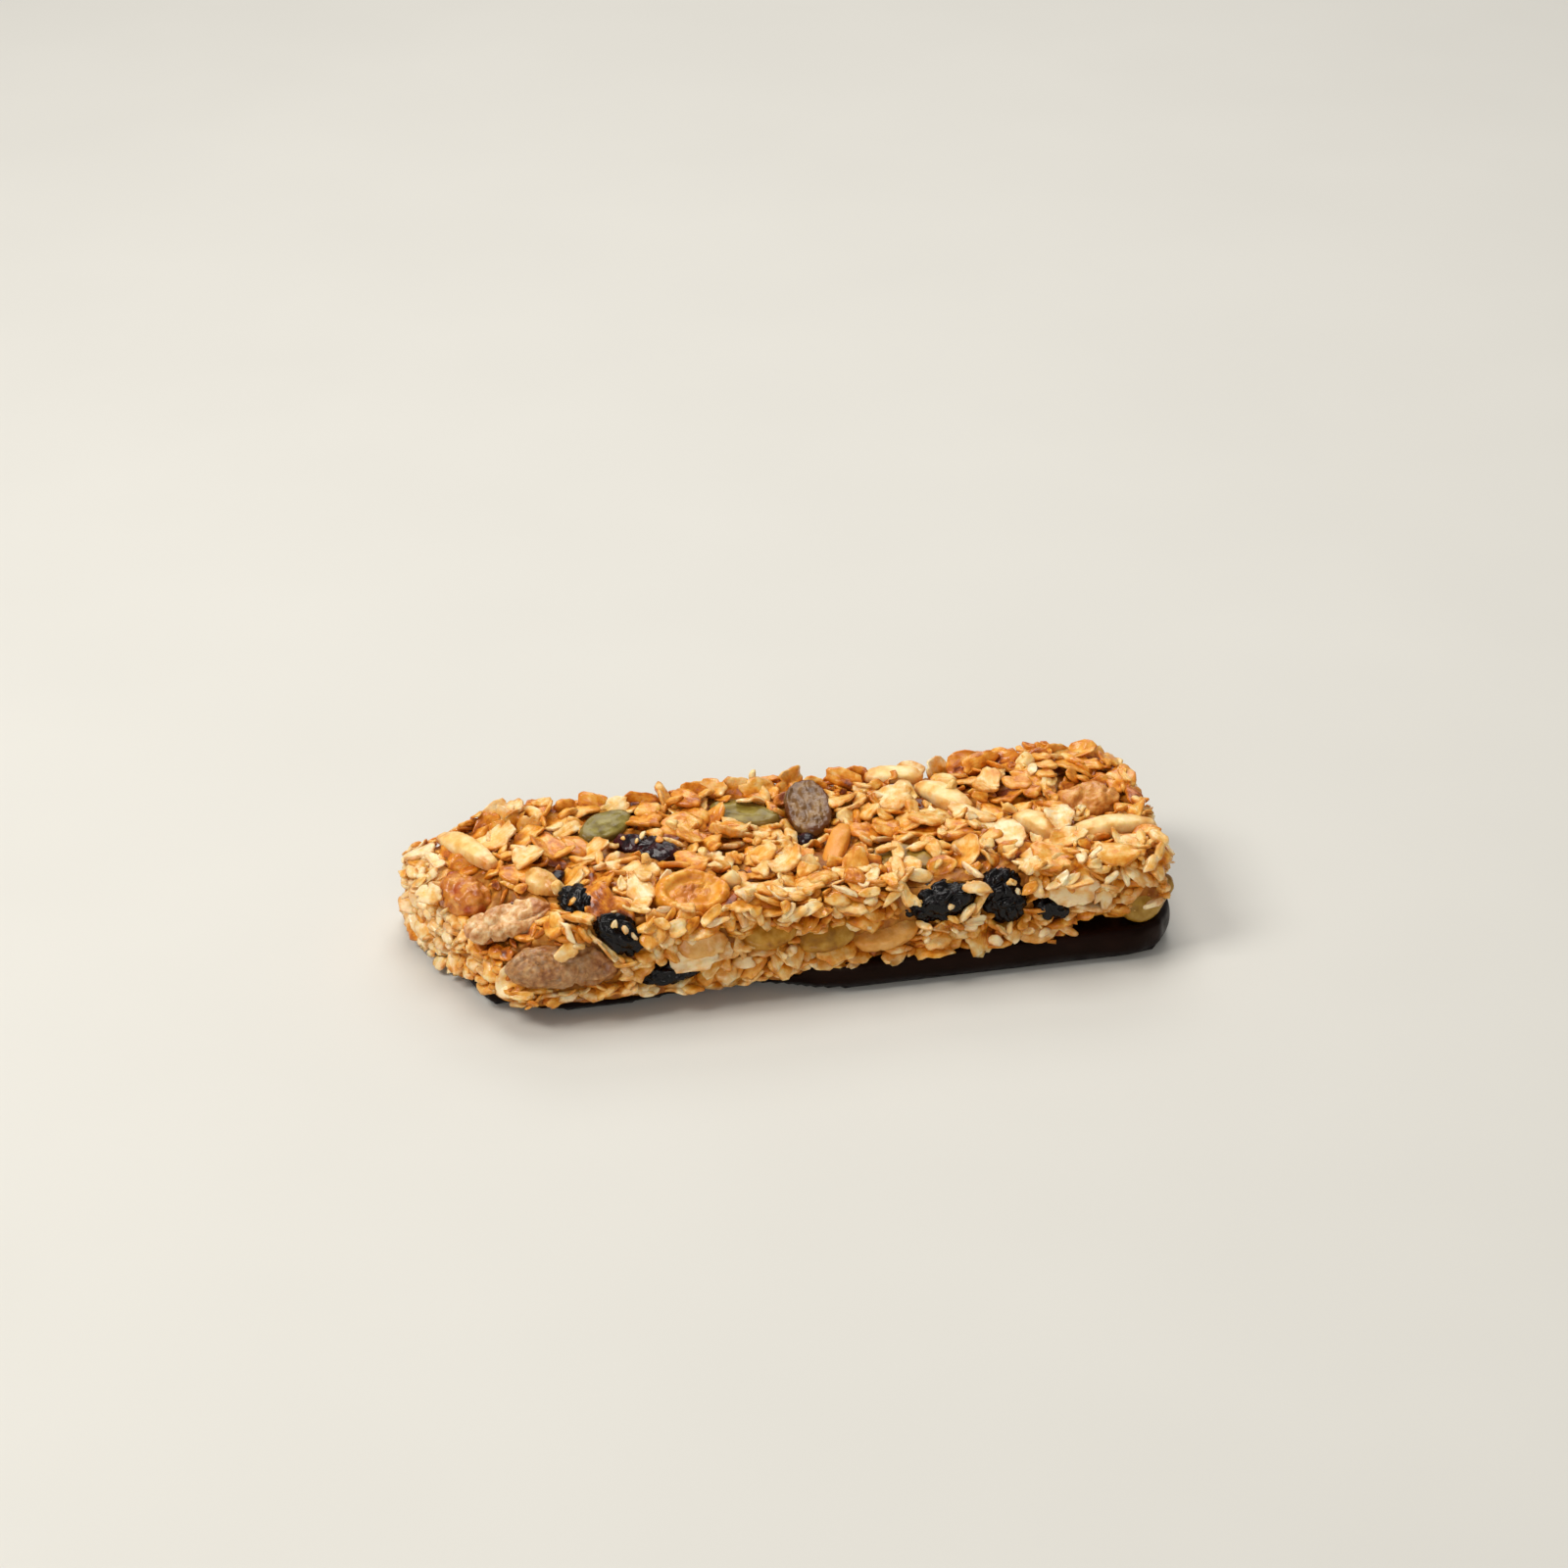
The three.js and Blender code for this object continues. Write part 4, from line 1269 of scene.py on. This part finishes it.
def add_chocolate():
    points, triangles = remeshed(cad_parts[BASE], 0.7, 6)
    normals = normals_of(points, triangles)
    lift = 0.28 * noise(points, 9, 70) + 0.12 * noise(points, 3.5, 71)
    flat = smoothstep(-0.9, -0.5, normals[:, 2])
    points = points + (lift * flat)[:, None] * normals
    left = smoothstep(-52, -63, points[:, 0]) * smoothstep(-19, -12, points[:, 1])
    points[:, 0] += 2.6 * left
    right_corner = smoothstep(54, 66, points[:, 0]) * smoothstep(-14, -24, points[:, 1])
    points[:, 0] -= 3.2 * right_corner
    points[:, 1] += 2.2 * right_corner
    under = np.clip(1 - points[:, 2] / BOTTOM_ROUND, 0, 1)
    tuck = BOTTOM_ROUND * (1 - np.sqrt(1 - under**2))
    points[:, 0] *= 1 - tuck / 62
    points[:, 1] *= 1 - tuck / 20
    points[:, 2] = np.maximum(points[:, 2], 0.0)
    points[normals[:, 2] < -0.9, 2] = 0.0
    make_piece("chocolate", points, triangles, chocolate_look(), (BASE,))


CORE_DEPTH = 1.9  # how far the core lies inside the slab's outline
CORE_STEP = 1.0


def box_shell(low, high, step):
    """A box's surface as an even grid, each of its sides on its own."""
    parts = []
    for axis in range(3):
        u, v = (axis + 1) % 3, (axis + 2) % 3
        counts = [int((high[k] - low[k]) / step) + 1 for k in (u, v)]
        a, b = np.meshgrid(*(np.linspace(low[k], high[k], n) for k, n in zip((u, v), counts)), indexing="ij")
        cell = np.arange(counts[0] * counts[1]).reshape(counts)
        faces = quads(cell[:-1, :-1], cell[1:, :-1], cell[1:, 1:], cell[:-1, 1:])
        for end, level in ((0, low[axis]), (1, high[axis])):
            points = np.empty((a.size, 3))
            points[:, u], points[:, v], points[:, axis] = a.ravel(), b.ravel(), level
            parts.append((points, faces if end else faces[:, ::-1]))
    return join_arrays(parts)[:2]


def add_core():
    """The solid mass under the flakes: a box pressed in from every side, to a little inside the slab."""
    points, triangles = box_shell(slab_low + 0.5, slab_high, CORE_STEP)
    for _ in range(2):
        for side in (*walls, top_side):
            lumps = 0.6 * noise(points, 3.2, 80) + 0.5 * noise(points, 1.7, 81)
            local = side.from_bar(points)
            most = side.sample(side.target, points) - CORE_DEPTH + lumps
            local[:, 2] = np.minimum(local[:, 2], most)
            points = side.to_bar(local)
    make_piece("core", points, triangles, core_look(), (SLAB,))


# ---- Small bits ----
def lump(rng, size, square):
    """A small cut piece: a rounded body with a few flat faces."""
    rings, sectors = 9, 14
    steps = (np.linspace(0, math.pi, rings + 1), TAU * np.arange(sectors) / sectors)
    down, around = np.meshgrid(*steps, indexing="ij")
    ball = np.stack([np.sin(down) * np.cos(around), np.sin(down) * np.sin(around), np.cos(down)], -1)
    ball = ball.reshape(-1, 3)
    far = (np.abs(ball) ** square).sum(1) ** (-1 / square)
    points = ball * far[:, None]
    for _ in range(5):
        way = rng.normal(size=3)
        way /= np.linalg.norm(way)
        beyond = np.maximum(points @ way - rng.uniform(0.6, 0.85), 0)
        points = points - beyond[:, None] * way
    points = points * (size * np.array((1, rng.uniform(0.7, 1.0), rng.uniform(0.6, 0.9))))
    points = points + 0.12 * size * noise(points, 0.8 * size, int(rng.integers(1000)))[:, None] * ball
    cell = np.arange((rings + 1) * sectors).reshape(rings + 1, sectors)
    turned = np.roll(cell, -1, 1)
    return points, quads(cell[:-1], cell[1:], turned[1:], turned[:-1])


def random_turn(rng):
    ways = np.linalg.qr(rng.normal(size=(3, 3)))[0]
    return ways * np.sign(np.linalg.det(ways))


def add_bits(name, bits, look, rng):
    """One piece of many lumps: each bit is its centre, its size and how square it is."""
    parts = []
    for centre, size, square in bits:
        points, triangles = lump(rng, size, square)
        parts.append((np.minimum(points @ random_turn(rng) + centre, HIGHEST_CORNER), triangles))
    points, triangles, _ = join_arrays(parts)
    make_piece(name, points, triangles, look, (), dict(rim=np.zeros(len(points))))


def add_dark_bits(rng):
    """The dark scraps in the top's deep gaps, the largest under the roasted seed: dark fruit, and partly a
    dark fill that stands in for the deep shade in these gaps.
    """
    bits = [
        ((3.6, 1.6, 16.6), 2.2, 2.0),
        ((1.8, 2.6, 16.9), 1.7, 2.0),
        ((-40.3, -1.0, 16.6), 1.9, 2.0),
        ((-49.2, -6.4, 14.3), 1.9, 2.0),
        ((-9.8, -7.2, 16.6), 1.4, 2.0),
        ((-29.8, -17.6, 11.4), 2.0, 2.0),
    ]
    add_bits("dark_bits", bits, cranberry_look(), rng)


CREAM_BITS = 16
LOWEST_BIT = 15.0  # the cream bits lie on the top, not down at its edges


def add_cream_bits(rng):
    """Chopped almond: the few larger dice that show singly, and smaller ones here and there on the top."""
    bits = [
        ((-13.0, -12.0, 18.9), 2.4, 2.2),
        ((45.5, 15.1, 19.9), 2.5, 3.6),
        ((1.8, -9.2, 18.2), 2.0, 4.0),
        ((11.4, 5.6, 18.9), 1.9, 3.4),
        ((31.0, 12.6, 19.6), 1.9, 3.4),
        ((-41.0, -6.9, 18.0), 1.8, 3.2),
        ((-11.0, 6.0, 18.8), 1.7, 3.2),
    ]
    bare = np.any(top_side.shy, axis=0)
    inset = np.array((4.0, 2.0))
    while len(bits) < CREAM_BITS:
        x, y = rng.uniform(slab_low[:2] + inset, slab_high[:2] - inset)
        at = np.array([[x, y, 0.0]])
        size = rng.uniform(0.8, 1.5)
        z = top_side.sample(top_side.height, at)[0]
        if z > LOWEST_BIT and top_side.sample(1.0 * bare, at)[0] == 0:
            bits.append(((x, y, z), size, rng.uniform(3.0, 5.0)))
    add_bits("cream_bits", bits, almond_look("cream_bits"), rng)


# ---- The CAD model's solids ----
rng = np.random.default_rng(SEED)
SLAB, BASE = "granola", "chocolate_base"
ROOM = np.array((1.4, 1.1, 0.5))  # how far the looks may reach out of the CAD model's box
LOWEST_CORNER = np.array(cad_box[0]) / MM - ROOM * (1, 1, 0)
HIGHEST_CORNER = np.array(cad_box[1]) / MM + ROOM
HIGHEST = HIGHEST_CORNER[2]
inclusions = sorted(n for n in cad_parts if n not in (SLAB, BASE))
solid_of = {n: arrays_of(o) for n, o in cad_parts.items()}
slab_tree, base_tree = tree_of(*solid_of[SLAB]), tree_of(*solid_of[BASE])
slab_low, slab_high = (np.array(c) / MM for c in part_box(SLAB))

# ---- The sides, with the fruit, seeds and nuts in them ----
# What flakes may lie over in part, and the ones among it that stay bare.
PARTLY_COVERED = ("green_seed", "almond_sliver", "nut_half_3", "raisin_5", "raisin_6")
BARE = ("almond_sliver_1", "almond_sliver_2", "almond_sliver_4", "green_seed_3")
MARGIN = 3.0  # how far the maps reach past the slab's box
x_span = (slab_low[0] - MARGIN, slab_high[0] + MARGIN)
y_span = (slab_low[1] - MARGIN, slab_high[1] + MARGIN)
z_span = (slab_low[2] - 1.0, slab_high[2] + 2.0)
X, Y, Z = np.eye(3)
top_side = Side(X, Y, Z, x_span, y_span)
walls = [  # front, back, left and right
    Side(X, Z, -Y, x_span, z_span),
    Side(-X, Z, Y, (-x_span[1], -x_span[0]), z_span),
    Side(-Y, Z, -X, (-y_span[1], -y_span[0]), z_span),
    Side(Y, Z, X, y_span, z_span),
]
for side in (top_side, *walls):
    side.set_target(slab_tree)
    for name in inclusions:
        shy = name in BARE or not name.startswith(PARTLY_COVERED)
        side.add_obstacle(solid_of[name][0], tree_of(*solid_of[name]), shy)

# The top's deep gaps: each is x, y and radius.
GAPS = ((3.0, 1.8, 2.0), (-40.3, -1.0, 1.5), (-49.2, -6.2, 1.6), (-9.8, -7.2, 1.2))
GAP_DEPTH = 2.4
NEAR_WALL = 7.0  # flakes go down to the chocolate this near to the bar's sides
PILE_DEPTH = 4.5  # and this deep elsewhere


def shape_top():
    """Makes the top uneven, most of all at the back edge, and sinks the gaps in it."""
    across, along = np.meshgrid(top_side.us, top_side.vs, indexing="ij")
    places = np.stack([across, along, 0 * across], -1).reshape(-1, 3)
    uneven = noise(places, 8.0, 60).reshape(top_side.shape)
    back_edge = smoothstep(10, 17, top_side.vs)[None, :]
    top_side.target = top_side.target + 0.3 + uneven * (0.6 + 0.9 * back_edge)
    for x, y, radius in GAPS:
        distance = np.hypot(across - x, along - y)
        top_side.target -= GAP_DEPTH * (1 - smoothstep(radius, radius + 1.2, distance))


def top_of_chocolate():
    """The map of the chocolate's top, carried on past its edge."""
    level = top_side.cast(base_tree)
    middle = level[:, len(top_side.vs) // 2][:, None]
    level = np.where(level > EMPTY / 2, level, middle)
    return np.where(level > EMPTY / 2, level, level[level > EMPTY / 2].min())


def first_ground():
    """What the first flakes rest on."""
    inner = [
        (steps > low + MARGIN + NEAR_WALL) & (steps < high - MARGIN - NEAR_WALL)
        for steps, (low, high) in ((top_side.us, x_span), (top_side.vs, y_span))
    ]
    deep_inside = inner[0][:, None] & inner[1]
    return np.where(deep_inside, top_side.target - PILE_DEPTH, chocolate_top - 0.7)


shape_top()
chocolate_top = top_of_chocolate()
top_side.height = first_ground()
solids = [solid_of[n] for n in inclusions] + [solid_of[BASE]]

# ---- All the flakes ----
KEPT_CLEAR = ("cranberry_1", "green_seed_3")  # these show from the photo's side
WITH_CRUMBS = ("raisin_1", "raisin_2", "raisin_3", "raisin_4", "cranberry_1")
FORGET = 0.3  # how much of its failures a side keeps for the next fill


def lay_top(rng):
    """Fills the top in three goes: the bulk, a rougher skin over it, and the holes that are left."""
    bulk = dict(whole=0.5, broken=0.4, shard=0.1)
    skin = dict(whole=0.45, broken=0.4, shard=0.15)
    holes = dict(broken=0.2, shard=0.4, bit=0.4)
    flakes = fill(top_side, rng, bulk, 110, 1.5, over=1.0, press=0.75)
    top_side.failures *= FORGET
    flakes += fill(top_side, rng, skin, 70, 0.4, over=1.7, lean=1.6, press=0.65)
    top_side.failures *= FORGET
    return flakes + fill(top_side, rng, holes, 40, 0.7, over=1.2, lean=1.3, hide=0.2, press=0.75)


def lay_walls(flakes, rng):
    """Wedges flakes into the walls of the heap, and closes the gaps with small ones."""
    heap_tree = tree_of(*join_arrays(discs_of(flakes) + solids)[:2])
    made = []
    for wall in walls:
        wall.height = np.clip(wall.cast(heap_tree), wall.target - 5, wall.target)
        made += wedge_in(wall, rng, 20, 0.7)
        made += fill(wall, rng, dict(shard=0.5, bit=0.5), 8, 0.9, over=0.3)
    return made


flakes = landmarks() + edge_flakes(rng)
for side in (top_side, *walls):
    for flake in flakes:
        outline = proxy_of(flake)
        side.add_obstacle(outline, tree_of(outline, FAN), True)
flakes += lay_top(rng)
flakes += lay_walls(flakes, rng)
for name in KEPT_CLEAR:
    for _ in range(2):
        flakes = without_cover(flakes, name)
flakes += crumbs_on(WITH_CRUMBS, rng)
flakes = held(flakes, solids)

pile_tree = tree_of(*join_arrays(discs_of(flakes) + solids)[:2])
for side in (top_side, *walls):  # the level of the highest flakes round each cell
    side.crest = blurred(sliding(side.cast(pile_tree), 3, highest), 2)
count_sightings(flakes, solids)

# The sectors, rings and rings below of a flake's mesh: for one that shows well, and for the others.
DETAIL = {
    "whole": ((24, 4, 2), (16, 2, 1)),
    "broken": ((20, 3, 2), (14, 2, 1)),
    "shard": ((14, 3, 2), (10, 2, 1)),
    "bit": ((12, 3, 1), (10, 1, 1)),
}
WELL_SEEN = 30  # a flake that more rays than this meet shows well
SHAPES = 40  # different shapes of each kind


def add_flakes(shown, rng):
    oats = oat_look()
    for kind, levels in DETAIL.items():
        for level, detail in enumerate(levels):
            shapes = [flake_shape(rng, *detail, cut=kind != "whole") for _ in range(SHAPES)]
            chosen = [f for f in shown if f["kind"] == kind and (f["seen"] <= WELL_SEEN) == bool(level)]
            if chosen:
                flakes_piece("oats_" + kind + ("_below" if level else ""), chosen, shapes, oats, rng)


# ---- Build ----
add_flakes([f for f in flakes if f["seen"] > 0], rng)
add_inclusions()
add_chocolate()
add_core()
add_cream_bits(rng)
add_dark_bits(rng)

add_camera()
add_softbox("key", -85, 50, 0.9, (0.35, 0.35), 4.2, (1.0, 0.975, 0.93))
add_softbox("top", 175, 72, 0.9, (0.5, 0.5), 3.4, (1.0, 0.98, 0.95))
add_softbox("back", 165, 38, 1.1, (0.6, 0.35), 2.2, (1.0, 0.98, 0.96))
add_softbox("front", -15, 25, 1.2, (0.6, 0.4), 2.6, (1.0, 0.98, 0.95))

world = bpy.data.worlds.new("world")
world.use_nodes = True
background = world.node_tree.nodes["Background"]
background.inputs["Color"].default_value = srgb("f4f2ee")
background.inputs["Strength"].default_value = 0.3
bpy.context.scene.world = world

FLOOR = 4  # half the floor's side, in metres
floor_mesh = bpy.data.meshes.new("floor")
floor_corners = [(-FLOOR, -FLOOR, 0), (FLOOR, -FLOOR, 0), (FLOOR, FLOOR, 0), (-FLOOR, FLOOR, 0)]
floor_mesh.from_pydata(floor_corners, [], [(0, 1, 2, 3)])
floor = bpy.data.objects.new("floor", floor_mesh)
floor_mesh.materials.append(floor_look())
bpy.context.scene.collection.objects.link(floor)

bpy.context.scene.view_settings.view_transform = "Standard"
